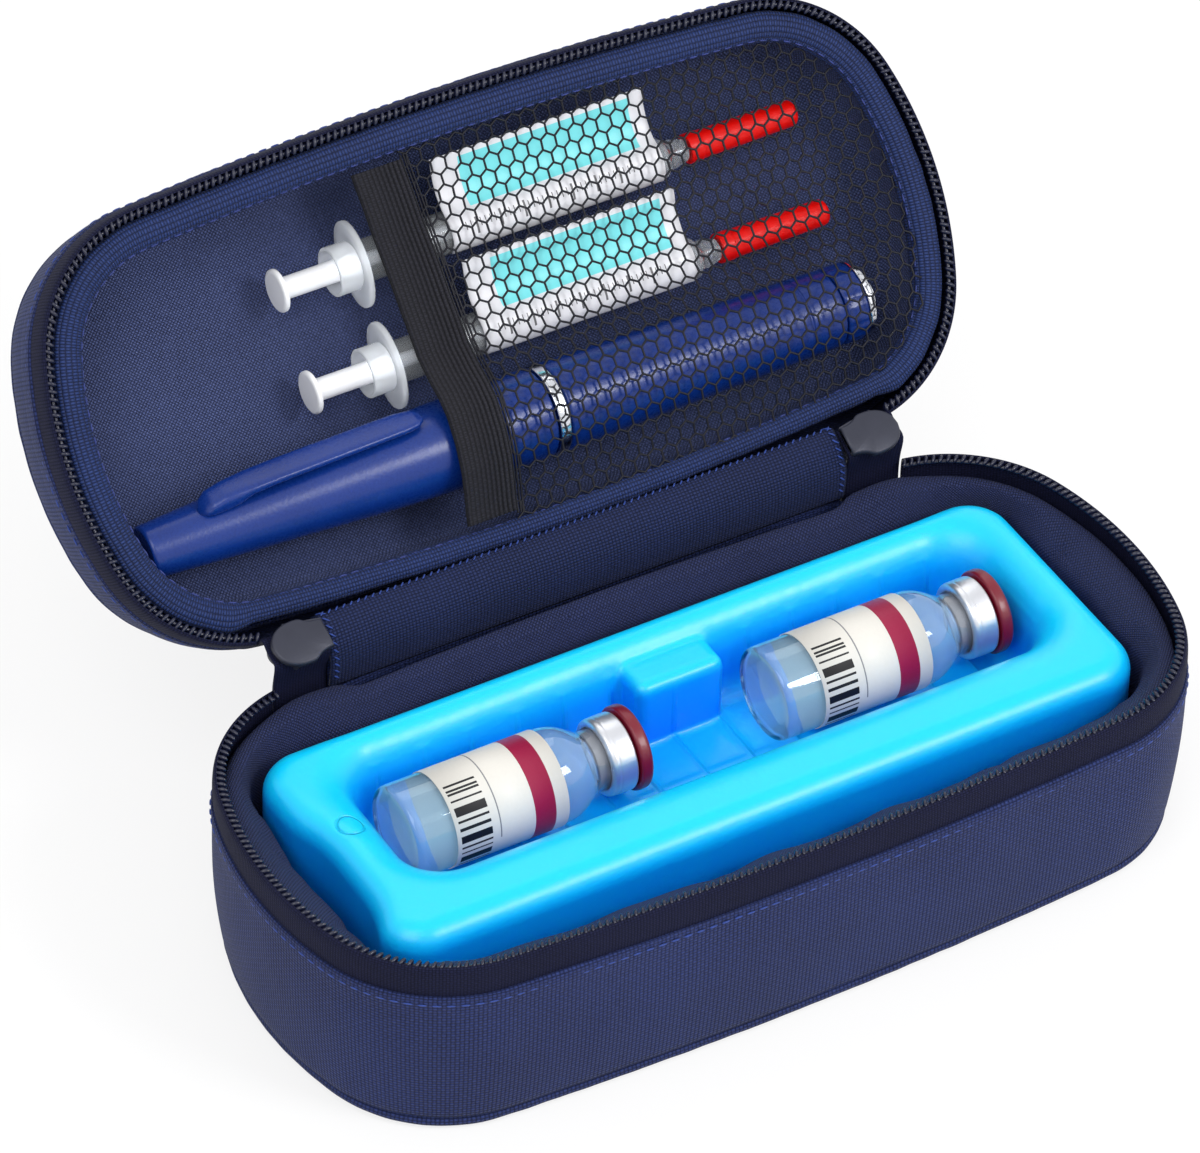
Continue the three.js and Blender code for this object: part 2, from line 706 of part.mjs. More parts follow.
function coldPack() {
  const bowed = { bowSide: packBow, bowEnd: packBow };
  const outer = track({ length: packLength, width: packWidth, corner: packCorner, ...bowed });
  const recess = track({ length: wellLength, width: wellWidth, corner: wellCorner, ...bowed });
  const shift = new THREE.Vector2(wellOff, wellShift);
  const aside = new THREE.Vector2(0, packShift);
  const floor = innerFloor + seat;
  const shape = (grow) => [
    ...roundedEdge(floor + grow, floor + packEdge, packEdge - grow, packEdgeSteps, grow),
    ...roundedEdge(packTop - grow, packTop - packEdge, packEdge - grow, packEdgeSteps, grow).reverse(),
  ];
  const hollow = (grow) => [
    [wellDraft - grow, wellFloor - grow],
    [-grow, packTop - packEdge / 2],
    [-wellFlare - grow, packTop + packWall],
  ];
  const blockTop = packTop - blockDrop;
  const blockBack = wellShift + wellWidth / 2 + packWall / 2;
  const blockY = blockBack - blockReach / 2 - packWall / 2;
  const block = box(wellOff + blockShift, blockY, (blockTop + wellFloor) / 2 - packWall / 4,
    blockLength, blockReach, blockTop - wellFloor + packWall / 2);
  const rib = (i) => box(wellOff + (i - (ribCount - 1) / 2) * ribPitch, wellShift,
    wellFloor + ribHeight / 2 - packWall / 4, ribWidth, wellWidth - 2 * wellDraft, ribHeight + packWall / 2);
  const ribs = Array.from({ length: ribCount }, (_, i) => rib(i));
  const plugX = (packEdge - packLength / 2 + wellLeft - wellFlare) / 2;
  const disc = (radius, depth, z) => new THREE.CylinderGeometry(radius, radius, depth, roundSteps)
    .rotateX(Math.PI / 2).translate(plugX, wellShift, z);
  const plugHole = disc(plugDiameter / 2, 2 * packWall, packTop);
  const sunk = (grow) => solidOf(loft(recess, hollow(grow), shift));
  const moulded = (grow) => solidOf(loft(outer, shape(grow), aside)).subtract(sunk(grow));
  const furnished = [block, ...ribs].reduce((whole, piece) => whole.add(solidOf(piece)), moulded(0));
  const shell = furnished.subtract(moulded(packWall)).subtract(solidOf(plugHole));
  const plug = disc(plugDiameter / 2 - seat, packWall, packTop - packWall / 2);
  return [
    mesh('cold_pack_shell', geometryOf(shell), material(0x00a8f0, 0.35)),
    mesh('cold_pack_gel', geometryOf(moulded(packWall + seat)), material(0x4fb4e8, 0.3, 0, 0.8)),
    mesh('cold_pack_plug', plug, material(0x00a0ea, 0.35)),
  ];
}

// A vial lies along +X from its foot at the origin
function vial(name) {
  const radius = vialDiameter / 2;
  const neck = vialNeckDiameter / 2;
  const bore = neck - 2 * vialWall;
  const inner = radius - vialRound - vialWall;
  const glass = turned([
    [0, 0], [0, radius - vialRound], [vialRound, radius], [vialBodyLength, radius],
    [shoulderAt, neck], [vialMouth, neck], [vialMouth, bore], [shoulderAt, bore],
    [vialBodyLength, radius - vialWall], [vialRound + vialWall, radius - vialWall], [vialWall, inner],
    [vialWall, 0],
  ]);
  const slack = vialWall + labelGap;
  const fill = turned([
    [slack, 0], [slack, inner - labelGap], [vialRound + slack, radius - slack],
    [vialBodyLength - labelGap, radius - slack], [shoulderAt, bore - 2 * labelGap],
    [shoulderAt + seat, bore - 2 * labelGap], [shoulderAt + seat, 0],
  ]);
  const plugFoot = shoulderAt + 2 * seat;
  const head = vialMouth + labelGap;
  const stopper = turned([
    [plugFoot, 0], [plugFoot, bore - labelGap], [head, bore - labelGap],
    [head, neck], [stopperTop, neck], [stopperTop, 0],
  ]);
  const crimpFoot = vialMouth - crimpLap;
  const crimpOuter = crimpDiameter / 2;
  const crimpBore = neck + labelGap;
  const crimp = turned([
    [crimpFoot, crimpBore], [crimpFoot, crimpOuter], [crimpTop, crimpOuter], [crimpTop, bore],
    [crimpTop - crimpWall, bore], [crimpTop - crimpWall, crimpBore], [crimpFoot, crimpBore],
  ]);
  const capOuter = flipCapDiameter / 2;
  const flipCap = turned([
    [flipCapFoot, 0], [flipCapFoot, capOuter], [vialLength - flipCapRound, capOuter],
    [vialLength, capOuter - flipCapRound], [vialLength, 0],
  ]);
  const labelInner = radius + labelGap;
  const labelOuter = labelInner + labelThickness;
  const labelEnd = labelStart + labelLength;
  const label = turned([
    [labelStart, labelInner], [labelStart, labelOuter], [labelEnd, labelOuter], [labelEnd, labelInner],
    [labelStart, labelInner],
  ]);
  return [
    mesh(`${name}_glass`, glass, clearGlass()),
    mesh(`${name}_liquid`, fill, material(0xe8f2fa, 0.05, 0, 0.3)),
    mesh(`${name}_stopper`, stopper, material(0x8a8d92, 0.8)),
    mesh(`${name}_crimp`, crimp, material(0xb9bcc2, 0.3, 1)),
    mesh(`${name}_flip_cap`, flipCap, material(0x7d0023, 0.4)),
    mesh(`${name}_label`, label, material(0xe8e6de, 0.7)),
  ];
}

// A syringe lies along +X, with the origin on its axis at the flange's finger side
function syringe(name) {
  const outer = barrelDiameter / 2;
  const bore = outer - barrelWall;
  const tip = caseLength / 2 - needleCapGap - syringeFlangeAt - needleCapLength - hubLength - 2 * labelGap;
  const rod = plungerRod / 2;
  const flange = new THREE.Shape();
  flange.absellipse(0, 0, flangeWidth / 2, flangeHeight / 2, 0, 2 * Math.PI, false, 0);
  const axes = [new THREE.Vector3(0, 1, 0), new THREE.Vector3(0, 0, 1), new THREE.Vector3(1, 0, 0)];
  const ellipse = extruded(flange, flangeThickness).applyMatrix4(new THREE.Matrix4().makeBasis(...axes));
  const tube = turned([[-collarLength, 0], [-collarLength, outer], [tip, outer], [tip, 0]]);
  const hollow = turned([
    [-2 * collarLength, 0], [-2 * collarLength, bore], [tip - 2 * barrelWall, bore],
    [tip - 2 * barrelWall, needleDiameter],
    [tip + barrelWall, needleDiameter], [tip + barrelWall, 0],
  ]);
  const barrel = geometryOf(join(tube, ellipse).subtract(solidOf(hollow)));
  const stopAt = plungerTravel;
  const thumbAt = -collarLength - plungerOut;
  const plunger = turned([
    [thumbAt, 0], [thumbAt, thumbDiameter / 2], [thumbAt + thumbThickness, thumbDiameter / 2],
    [thumbAt + thumbThickness, rod], [stopAt, rod], [stopAt, bore - labelGap],
    [stopAt + stopperLength, bore - labelGap], [stopAt + stopperLength, 0],
  ]);
  const hubFoot = tip + labelGap;
  const hubTip = hubFoot + hubLength;
  const through = needleDiameter / 2 + labelGap;
  const hub = turned([
    [hubFoot, through], [hubFoot, hubDiameter / 2], [hubTip, hubDiameter / 2], [hubTip, through],
    [hubFoot, through],
  ], roundSteps / 2);
  const capFoot = hubTip + labelGap;
  const capTip = capFoot + needleCapLength;
  const capBore = needleCapDiameter / 2 - needleCapWall;
  const capInside = capTip - needleCapWall;
  const cap = turned([
    [capFoot, capBore], [capFoot, needleCapDiameter / 2], [capTip, needleCapTip / 2],
    [capTip, 0], [capInside, 0], [capInside, capBore], [capFoot, capBore],
  ], roundSteps / 2);
  const needleTip = capInside - needleCapWall;
  const needle = turned([
    [hubFoot, 0], [hubFoot, needleDiameter / 2], [needleTip, needleDiameter / 2], [needleTip, 0],
  ], cordSides);
  const cardFace = outer + labelGap + cardThickness / 2;
  const card = box(cardStart + cardLength / 2, cardOverhang - cardWidth / 2, -cardFace,
    cardLength, cardWidth, cardThickness);
  return [
    mesh(`${name}_barrel`, barrel, clearPlastic()),
    mesh(`${name}_plunger`, plunger, material(0xf2f2f0, 0.45)),
    mesh(`${name}_hub`, hub, clearPlastic()),
    mesh(`${name}_needle`, needle, material(0xc0c4c8, 0.25, 1)),
    mesh(`${name}_needle_cap`, cap, material(0xf01405, 0.4)),
    mesh(`${name}_card`, card, material(0xebe8ee, 0.6)),
  ];
}

// The pen lies along +X from the end of its cap
function pen() {
  const radius = penDiameter / 2;
  const tail = penTailDiameter / 2;
  const ringAt = penCapLength + seat;
  const bodyAt = ringAt + penRingLength + seat;
  const buttonEnd = penLength;
  const knobEnd = buttonEnd - penButtonProud;
  const knobAt = knobEnd - penKnobLength;
  const bodyEnd = knobAt - seat;
  const buttonRadius = penButtonDiameter / 2;
  const bore = penBore / 2;
  const spigot = bore - seat;
  const spigotAt = penCapLength - penSpigot;
  const cap = turned([
    [0, 0], [0, capRadius(0)], [penTaper, radius], [penCapLength, radius],
    [penCapLength, bore], [spigotAt - seat, bore], [spigotAt - seat, 0],
  ]);
  const ring = turned([
    [ringAt, bore], [ringAt, radius + penRingProud], [ringAt + penRingLength, radius + penRingProud],
    [ringAt + penRingLength, bore], [ringAt, bore],
  ]);
  const barrel = turned([
    [spigotAt, 0], [spigotAt, spigot], [bodyAt, spigot], [bodyAt, radius], [bodyEnd, tail], [bodyEnd, 0],
  ]);
  const well = knobEnd - penButtonGuide - penButtonTravel - seat;
  const knob = turned([
    [knobAt, 0], [knobAt, tail], [knobEnd, tail],
    [knobEnd, buttonRadius + seat], [well, buttonRadius + seat], [well, 0],
  ]);
  const buttonAt = knobEnd - penButtonGuide;
  const button = turned([
    [buttonAt, 0], [buttonAt, buttonRadius], [buttonEnd - penButtonRound, buttonRadius],
    [buttonEnd, buttonRadius - penButtonRound], [buttonEnd, 0],
  ]);
  const group = new THREE.Group();
  group.add(
    mesh('pen_cap', cap, penBlue()),
    mesh('pen_ring', ring, chrome()),
    mesh('pen_body', barrel, penBlue()),
    mesh('pen_knob', knob, penBlue()),
    mesh('pen_button', button, chrome()),
    clip(),
  );
  return group;
}

// The cap widens evenly from its tip
function capRadius(along) {
  return THREE.MathUtils.lerp(penTipDiameter, penDiameter, Math.min(along / penTaper, 1)) / 2;
}

function clip() {
  const clipEnd = clipStart + clipLength;
  const outline = [
    [clipStart, 0],
    [clipStart + clipRoot, 0],
    [clipStart + clipRoot + clipThickness, clipLift],
    [clipEnd - clipThickness, clipLift],
    [clipEnd, 0],
    [clipEnd, clipThickness],
    [clipEnd - clipThickness, clipLift + clipThickness],
    [clipStart + clipRoot - clipThickness, clipLift + clipThickness],
    [clipStart, clipThickness / 2],
  ].map(([along, out]) => [along, capRadius(along) + seat + out]);
  const profile = new THREE.Shape(outline.map(([along, out]) => new THREE.Vector2(along, out)));
  const blade = extruded(profile, clipWidth).translate(0, 0, -clipWidth / 2);
  const piece = mesh('pen_clip', blade, penBlue());
  piece.rotation.x = Math.PI + THREE.MathUtils.degToRad(clipAngle);
  return piece;
}

function baseHalf() {
  const group = new THREE.Group();
  group.add(...shellHalf('base', baseHeight, 'base_bottom_panel', (rise) => baseHeight - rise));
  group.add(...clothHinge());
  return group;
}

function loadedPack() {
  const group = new THREE.Group();
  group.add(...coldPack());
  const rest = wellFloor + ribHeight + seat;
  for (const [name, start] of Object.entries(vialStarts)) {
    const bottle = new THREE.Group();
    bottle.position.set(start, wellShift, rest + vialDiameter / 2 + labelGap + labelThickness);
    bottle.add(...vial(`vial_${name}`));
    group.add(bottle);
  }
  return group;
}

// The lid is drawn shut, above the zip, and turned open about the cloth hinge
function lidHalf() {
  const turn = new THREE.Group();
  turn.position.copy(hinge);
  turn.rotation.x = -THREE.MathUtils.degToRad(openAngle);
  const shut = new THREE.Group();
  shut.position.set(0, -hinge.y, baseHeight - hinge.z);
  const place = (rise) => rise;
  shut.add(...shellHalf('lid', lidHeight, 'lid_top_panel', place));
  shut.add(bindingRing(place));
  shut.add(...netPocket(place));
  const lidFloor = lidHeight - innerFloor - seat;
  for (const [name, row] of Object.entries(syringeRows)) {
    const shot = new THREE.Group();
    shot.position.set(syringeFlangeAt, row, lidFloor - flangeHeight / 2);
    shot.add(...syringe(`syringe_${name}`));
    shut.add(shot);
  }
  const stick = pen();
  stick.position.set(penEndGap - caseLength / 2, penRow, lidFloor - penDiameter / 2 - penRingProud);
  shut.add(stick);
  turn.add(shut);
  return turn;
}

const coolingCase = new THREE.Group();
const sliderAt = hingeHalf + seat + sliderLength / 2;
coolingCase.add(baseHalf());
coolingCase.add(loadedPack());
coolingCase.add(zipSlider('left', -sliderAt, -1));
coolingCase.add(zipSlider('right', sliderAt, 1));
coolingCase.add(lidHalf());

export default coolingCase;
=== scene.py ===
import math
from functools import partialmethod

import bmesh
import bpy
import numpy as np
from mathutils import Matrix, Vector, noise


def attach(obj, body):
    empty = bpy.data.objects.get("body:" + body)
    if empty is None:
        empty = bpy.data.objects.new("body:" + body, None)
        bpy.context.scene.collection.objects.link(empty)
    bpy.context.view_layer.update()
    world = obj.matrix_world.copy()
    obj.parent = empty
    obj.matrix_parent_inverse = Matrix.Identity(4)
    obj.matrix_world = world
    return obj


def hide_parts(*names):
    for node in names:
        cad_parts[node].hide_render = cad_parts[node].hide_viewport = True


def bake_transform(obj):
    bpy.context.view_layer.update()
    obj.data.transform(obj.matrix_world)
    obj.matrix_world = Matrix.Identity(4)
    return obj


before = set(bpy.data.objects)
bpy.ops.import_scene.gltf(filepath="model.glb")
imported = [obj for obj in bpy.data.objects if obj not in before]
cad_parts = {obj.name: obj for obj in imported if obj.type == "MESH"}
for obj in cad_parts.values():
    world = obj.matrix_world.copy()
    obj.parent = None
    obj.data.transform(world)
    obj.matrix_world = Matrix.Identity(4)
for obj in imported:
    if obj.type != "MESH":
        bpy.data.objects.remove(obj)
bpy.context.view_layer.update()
print("frame loaded")

mm = 0.001
case = {  # millimetres, as in the part's source
    "length": 210, "width": 100, "corner": 33, "sideBow": 2.5, "endBow": 2.1, "baseHeight": 46.8, "lidHeight": 26,
    "lean": 2.4, "hingeY": 50.5, "hingeZ": 49.6, "openAngle": 130, "zipEnd": 76, "steps": 400,
    "packHalf": (89.0, 32.0), "packY": 1.5, "packCorner": 10.0,
}


# shader sums: a wrapped socket, with the operators that the finishes use

class Sum:
    def __init__(self, tree, socket=None):
        self.tree = tree
        self.socket = socket

    def node(self, kind, settings=None, inputs=None, out=0):
        made = self.tree.nodes.new(kind)
        for key, value in (settings or {}).items():
            setattr(made, key, value)
        for key, value in (inputs or {}).items():
            if isinstance(value, Sum):
                self.tree.links.new(value.socket, made.inputs[key])
            else:
                made.inputs[key].default_value = value
        return Sum(self.tree, made.outputs[out])

    def sum(self, operation, *others):
        return self.node("ShaderNodeMath", {"operation": operation}, dict(enumerate((self, *others))))

    __add__ = __radd__ = partialmethod(sum, "ADD")
    __mul__ = __rmul__ = partialmethod(sum, "MULTIPLY")
    __sub__ = partialmethod(sum, "SUBTRACT")
    __truediv__ = partialmethod(sum, "DIVIDE")
    __pow__ = partialmethod(sum, "POWER")
    __lt__ = partialmethod(sum, "LESS_THAN")
    __gt__ = partialmethod(sum, "GREATER_THAN")
    __mod__ = partialmethod(sum, "FLOORED_MODULO")
    __abs__ = partialmethod(sum, "ABSOLUTE")

    def __rsub__(self, other):
        return self.node("ShaderNodeMath", {"operation": "SUBTRACT"}, {0: other, 1: self})

    def clamp(self):
        return self.node("ShaderNodeClamp", {}, {0: self})

    def wave(self, pitch):
        return (self * (math.pi / pitch)).sum("SINE")

    def between(self, low, high):
        return (self > low) * (self < high)

    def axis(self, index):
        return self.node("ShaderNodeSeparateXYZ", {}, {0: self}, index)

    def noise(self, scale, detail=2.0):
        return self.node("ShaderNodeTexNoise", {}, {"Vector": self, "Scale": scale, "Detail": detail})

    def mix(self, first, second):
        return self.node("ShaderNodeMix", {"data_type": "RGBA"}, {0: self, 6: colourOf(first), 7: colourOf(second)}, 2)

    def bump(self, distance):
        return self.node("ShaderNodeBump", {}, {"Height": self, "Distance": distance})


def colourOf(value):
    return value if isinstance(value, Sum) else (*value, 1.0)


def shade(*rgb):
    return tuple((c / 255 / 12.92) if c <= 10 else ((c / 255 + 0.055) / 1.055) ** 2.4 for c in rgb)


def dimmed(colour, share):
    return tuple(min(1, c * share) for c in shade(*colour))


shaderSockets = {
    "colour": "Base Color", "roughness": "Roughness", "metal": "Metallic", "coat": "Coat Weight", "normal": "Normal",
    "sheen": "Sheen Weight", "glass": "Transmission Weight", "ior": "IOR", "specular": "Specular IOR Level",
    "sheenRough": "Sheen Roughness", "inside": "Subsurface Weight", "insideScale": "Subsurface Scale",
    "coatRough": "Coat Roughness",
}


def emptied(owner):
    owner.use_nodes = True
    owner.node_tree.nodes.clear()
    return owner.node_tree


class Finish:
    def __init__(self, name, **fixed):
        self.material = bpy.data.materials.new(name)
        tree = emptied(self.material)
        start = Sum(tree)
        self.shader = tree.nodes.new("ShaderNodeBsdfPrincipled")
        output = tree.nodes.new("ShaderNodeOutputMaterial")
        tree.links.new(self.shader.outputs[0], output.inputs[0])
        self.cloth = start.node("ShaderNodeUVMap", {"uv_map": "cloth"})
        self.place = start.node("ShaderNodeTexCoord", {}, {}, 3)
        self.facing = start.node("ShaderNodeTexCoord", {}, {}, 1)
        for key, value in fixed.items():
            self.shader.inputs[shaderSockets[key]].default_value = value

    def painted(self, **sums):
        for key, value in sums.items():
            value = value.clamp() if key == "roughness" else value
            self.material.node_tree.links.new(value.socket, self.shader.inputs[shaderSockets[key]])
        return self.material


# woven cloth

weaves = {  # thread pitch along and across in mm, relief in metres, dark and light tone, sheen, roughness, gloss
    "outerCloth": (0.92, 0.74, 0.00024, (7, 11, 39), (46, 62, 121), 0.02, 0.56, 0.2),
    "hingeCloth": (0.8, 0.7, 0.00024, (5, 9, 31), (36, 50, 97), 0.02, 0.56, 0.2),
    "liningCloth": (0.62, 0.56, 0.00024, (9, 13, 38), (87, 101, 154), 0.03, 0.42, 0.3),
    "trayCloth": (0.62, 0.56, 0.00024, (6, 9, 32), (43, 55, 104), 0.03, 0.48, 0.25),
    "bindingCloth": (0.68, 1.3, 0.0003, (6, 12, 38), (41, 63, 122), 0.03, 0.55, 0.25),
    "zipTape": (0.7, 0.5, 0.00012, (8, 9, 24), (29, 33, 66), 0.0, 0.65, 0.12),
    "elasticCloth": (0.55, 1.2, 0.0003, (7, 7, 11), (42, 42, 52), 0.03, 0.7, 0.25),
}
weaveLook = {"diagonal": ("liningCloth", "trayCloth"), "ribbed": ("elasticCloth",), "sheenRough": 0.4,
             "fine": 900, "coarse": 40, "threadTone": 0.62, "overTone": 0.16, "slubTone": 0.55,
             "gapRough": 0.2, "overRelief": 0.25, "slubRelief": 0.4}


def wovenFinish(name):
    along, across, relief, dark, light, sheen, rough, gloss = weaves[name]
    cloth = Finish(name, sheen=sheen, sheenRough=weaveLook["sheenRough"], specular=gloss)
    u, v = cloth.cloth.axis(0), cloth.cloth.axis(1)
    if name in weaveLook["diagonal"]:
        u, v = (u + v) * 0.7071, (u - v) * 0.7071
    thin = 0.2 if name in weaveLook["ribbed"] else 0.6  # ribbed cloth shows its long threads
    threads = abs(u.wave(along)) ** thin * abs(v.wave(across)) ** (1.2 - thin)
    over = ((u / along).sum("FLOOR") + (v / across).sum("FLOOR")) % 2
    slub = cloth.place.noise(weaveLook["fine"]) * 0.5 + cloth.place.noise(weaveLook["coarse"], 3) * 0.5
    tone = threads * weaveLook["threadTone"] + over * weaveLook["overTone"] + (slub - 0.5) * weaveLook["slubTone"]
    height = threads + over * weaveLook["overRelief"] + slub * weaveLook["slubRelief"]
    return cloth.painted(colour=tone.clamp().mix(shade(*dark), shade(*light)),
                         roughness=rough + weaveLook["gapRough"] * (1 - threads), normal=height.bump(relief))


finishes = {name: wovenFinish(name) for name in weaves}


# plain plastic, metal, rubber, glass and thread

plain = {  # colour, roughness, then what differs from the usual mottle and gloss
    "zipNylon": ((18, 22, 46), 0.3, {"specular": 0.5}),
    "sliderMetal": ((52, 54, 66), 0.42, {"grain": 0.12, "metal": 0.3, "specular": 0.35}),
    "stitchThread": ((30, 60, 138), 0.6, {"grain": 0.25, "scale": 900, "relief": 0.0001, "sheen": 0.05}),
    "seamThread": ((34, 50, 118), 0.6, {"grain": 0.25, "scale": 900, "relief": 0.0001, "sheen": 0.05}),
    "netThread": ((13, 14, 25), 0.5, {"scale": 700, "specular": 0.3}),
    "stopperRubber": ((122, 124, 132), 0.6, {}),
    "crimpMetal": ((214, 216, 222), 0.3, {"grain": 0.05, "metal": 0.85}),
    "flipPlastic": ((112, 2, 31), 0.34, {"coat": 0.1}),
    "whitePlastic": ((238, 239, 242), 0.38, {"grain": 0.03}),
    "milkyPlastic": ((247, 250, 254), 0.1, {"grain": 0.02, "glass": 0.66, "ior": 1.16}),
    "needleSteel": ((180, 184, 190), 0.2, {"metal": 1.0}),
    "redPlastic": ((228, 10, 4), 0.34, {"grain": 0.06, "specular": 0.3, "inside": 0.1, "insideScale": 0.002}),
    "chrome": ((216, 219, 226), 0.14, {"grain": 0.04, "metal": 1.0}),
    "glass": ((244, 250, 254), 0.03, {"grain": 0.01, "scale": 60, "relief": 0.00002, "glass": 1.0, "ior": 1.3,
                                      "coat": 0.8, "coatRough": 0.03}),
    "liquid": ((188, 222, 244), 0.05, {"grain": 0.04, "scale": 40, "glass": 0.78, "ior": 1.18}),
}
clearFinishes = ("glass", "liquid", "clearPlastic", "milkyPlastic")  # these let the lamps through


def plainFinish(name, colour, roughness, grain=0.1, scale=300, relief=0.00003, **fixed):
    made = Finish(name, **fixed)
    mottle = made.place.noise(scale, 3)
    fine = made.place.noise(scale * 6)
    return made.painted(colour=mottle.mix(dimmed(colour, 1 - grain), dimmed(colour, 1 + grain)),
                        roughness=roughness + (mottle - 0.5) * 0.12, normal=(fine + mottle * 0.5).bump(relief))


for name, (colour, roughness, more) in plain.items():
    finishes[name] = plainFinish(name, colour, roughness, **more)


# moulded pen and pack, clear barrel, printed paper

penLook = {"deep": (3, 28, 92), "bright": (9, 54, 140), "rough": 0.28, "coat": 0.15, "fleck": 1600, "cloud": 60}
# painted light: the top colour is a painted lit top, the side colour is the painted shaded walls, and the deep colour
# is painted shade low on the walls and deep in the well. The two heights after them say where that painted shade ends
# and how far it fades.
packLook = {"side": (0, 126, 255), "top": (0, 204, 255), "deep": (0, 82, 246), "rough": 0.34, "cloud": 35, "skin": 700,
            "paintedShadeTo": 0.018, "paintedShadeFade": 0.022, "plug": (-0.0794, 0.0065, 0.0028), "plugLine": 0.0004,
            "relief": 0.0002, "ribs": {"x": (-73.0, 78.0), "y": (-11.5, 24.5), "top": 38.0, "fade": 6, "pitch": 11.0,
                                       "from": 2.5, "half": 0.7}}
barrelLook = {"haze": (226, 232, 238), "clear": (246, 248, 250), "rough": 0.03}
labelLook = {"paper": (222, 219, 212), "band": (150, 14, 62), "ink": (14, 13, 18), "rule": (128, 128, 132),
             "rough": 0.42, "bandAt": ((22, 58), (18.2, 23.0)), "ruleAt": ((22, 50), (10.0, 10.3)),
             "barsAt": (1.0, 8.2), "barsFrom": 7,
             "bars": ((28, 0.5), (29.2, 0.5), (30, 0.5), (31.6, 0.4), (33.2, 1.9), (36, 0.5), (37.6, 0.7), (39.4, 1.7),
                      (42, 0.5), (43.5, 0.4), (44.9, 2.0), (47.8, 0.6), (49.4, 1.3), (51.6, 0.5), (53, 0.9))}
cardLook = {"paper": (236, 236, 242), "block": (126, 230, 236), "ink": (30, 30, 36), "rough": 0.36,
            "blockAt": ((6.3, 47.3), (1.2, 12.4)), "ticksAt": (3, 44), "shortTick": (1.15, 0.22, 15.4, 17.2),
            "tallTick": (5.75, 0.5, 15.0, 18.6), "tickInk": 0.85}


def penFinish():
    made = Finish("penPlastic", coat=penLook["coat"], coatRough=0.3, specular=0.4)
    flecks = made.place.noise(penLook["fleck"])
    tone = (made.place.noise(penLook["cloud"], 3) * 0.6 + flecks * 0.4).clamp()
    return made.painted(colour=tone.mix(shade(*penLook["deep"]), shade(*penLook["bright"])),
                        roughness=penLook["rough"] + (flecks - 0.5) * 0.15, normal=flecks.bump(0.00003))


def packFinish():
    made = Finish("packPlastic", coat=0.12, coatRough=0.25, specular=0.4, inside=0.3, insideScale=0.01)
    x, y, z = (made.place.axis(k) for k in range(3))
    # painted light: faces that point up are painted towards the lit top colour
    up = (made.facing.axis(2) * 0.8 + 0.3).clamp()
    # painted shade: darker lower down and deeper in the well, lighter higher up
    high = ((z - packLook["paintedShadeTo"]) / packLook["paintedShadeFade"]).clamp()
    cloud = made.place.noise(packLook["cloud"], 3)
    skin = made.place.noise(packLook["skin"], 3)
    # the walls' colour is painted shade low down and the side colour higher up, with random cloudy tone
    wall = (high * 0.8 + cloud * 0.2).clamp().mix(shade(*packLook["deep"]), shade(*packLook["side"]))
    # the tone is painted light from facing up and from height, plus random cloudy tone
    tone = (up * (0.5 + high * 0.5) + (cloud - 0.5) * 0.12).clamp()
    plugX, plugY, plugRadius = packLook["plug"]
    far = ((x - plugX) ** 2 + (y - plugY) ** 2) ** 0.5
    ring = (1 - abs(far - plugRadius) / packLook["plugLine"]).clamp() * (z > 0.04)  # the filler plug's edge
    x, y, z = x * 1000, y * 1000, z * 1000
    ribs = packLook["ribs"]
    rib = abs((x - ribs["from"] + ribs["pitch"] * 20.5) % ribs["pitch"] - ribs["pitch"] / 2)
    rib = (1 - rib / ribs["half"]).clamp() * ((ribs["top"] - z) / ribs["fade"]).clamp()
    rib = rib * x.between(*ribs["x"]) * y.between(*ribs["y"])
    height = skin * 0.3 + cloud - ring * 2 + rib * 1.6
    return made.painted(colour=tone.mix(wall, shade(*packLook["top"])), normal=height.bump(packLook["relief"]),
                        roughness=packLook["rough"] + (skin - 0.5) * 0.2)


def barrelFinish():
    made = Finish("clearPlastic", glass=0.85, ior=1.2, specular=0.5)
    haze = made.place.noise(200)
    return made.painted(colour=haze.mix(shade(*barrelLook["haze"]), shade(*barrelLook["clear"])),
                        roughness=barrelLook["rough"] + haze * 0.05, normal=haze.bump(0.00001))


def labelFinish():
    made = Finish("labelPaper", coat=0.15, coatRough=0.3, specular=0.35)
    u, v = made.cloth.axis(0), made.cloth.axis(1)
    fibre = made.place.noise(1500, 3)
    paper = fibre.mix(dimmed(labelLook["paper"], 0.94), shade(*labelLook["paper"]))
    band, rule = (u.between(*labelLook[k][0]) * v.between(*labelLook[k][1]) for k in ("bandAt", "ruleAt"))
    shift = labelLook["barsFrom"]
    bars = 0
    for start, wide in labelLook["bars"]:
        bars = u.between(start + shift, start + wide + shift) + bars
    inked = (bars * v.between(*labelLook["barsAt"])).clamp().mix(paper, shade(*labelLook["ink"]))
    ruled = rule.mix(inked, shade(*labelLook["rule"]))
    return made.painted(colour=band.mix(ruled, shade(*labelLook["band"])), normal=fibre.bump(0.00003),
                        roughness=labelLook["rough"] + fibre * 0.15)


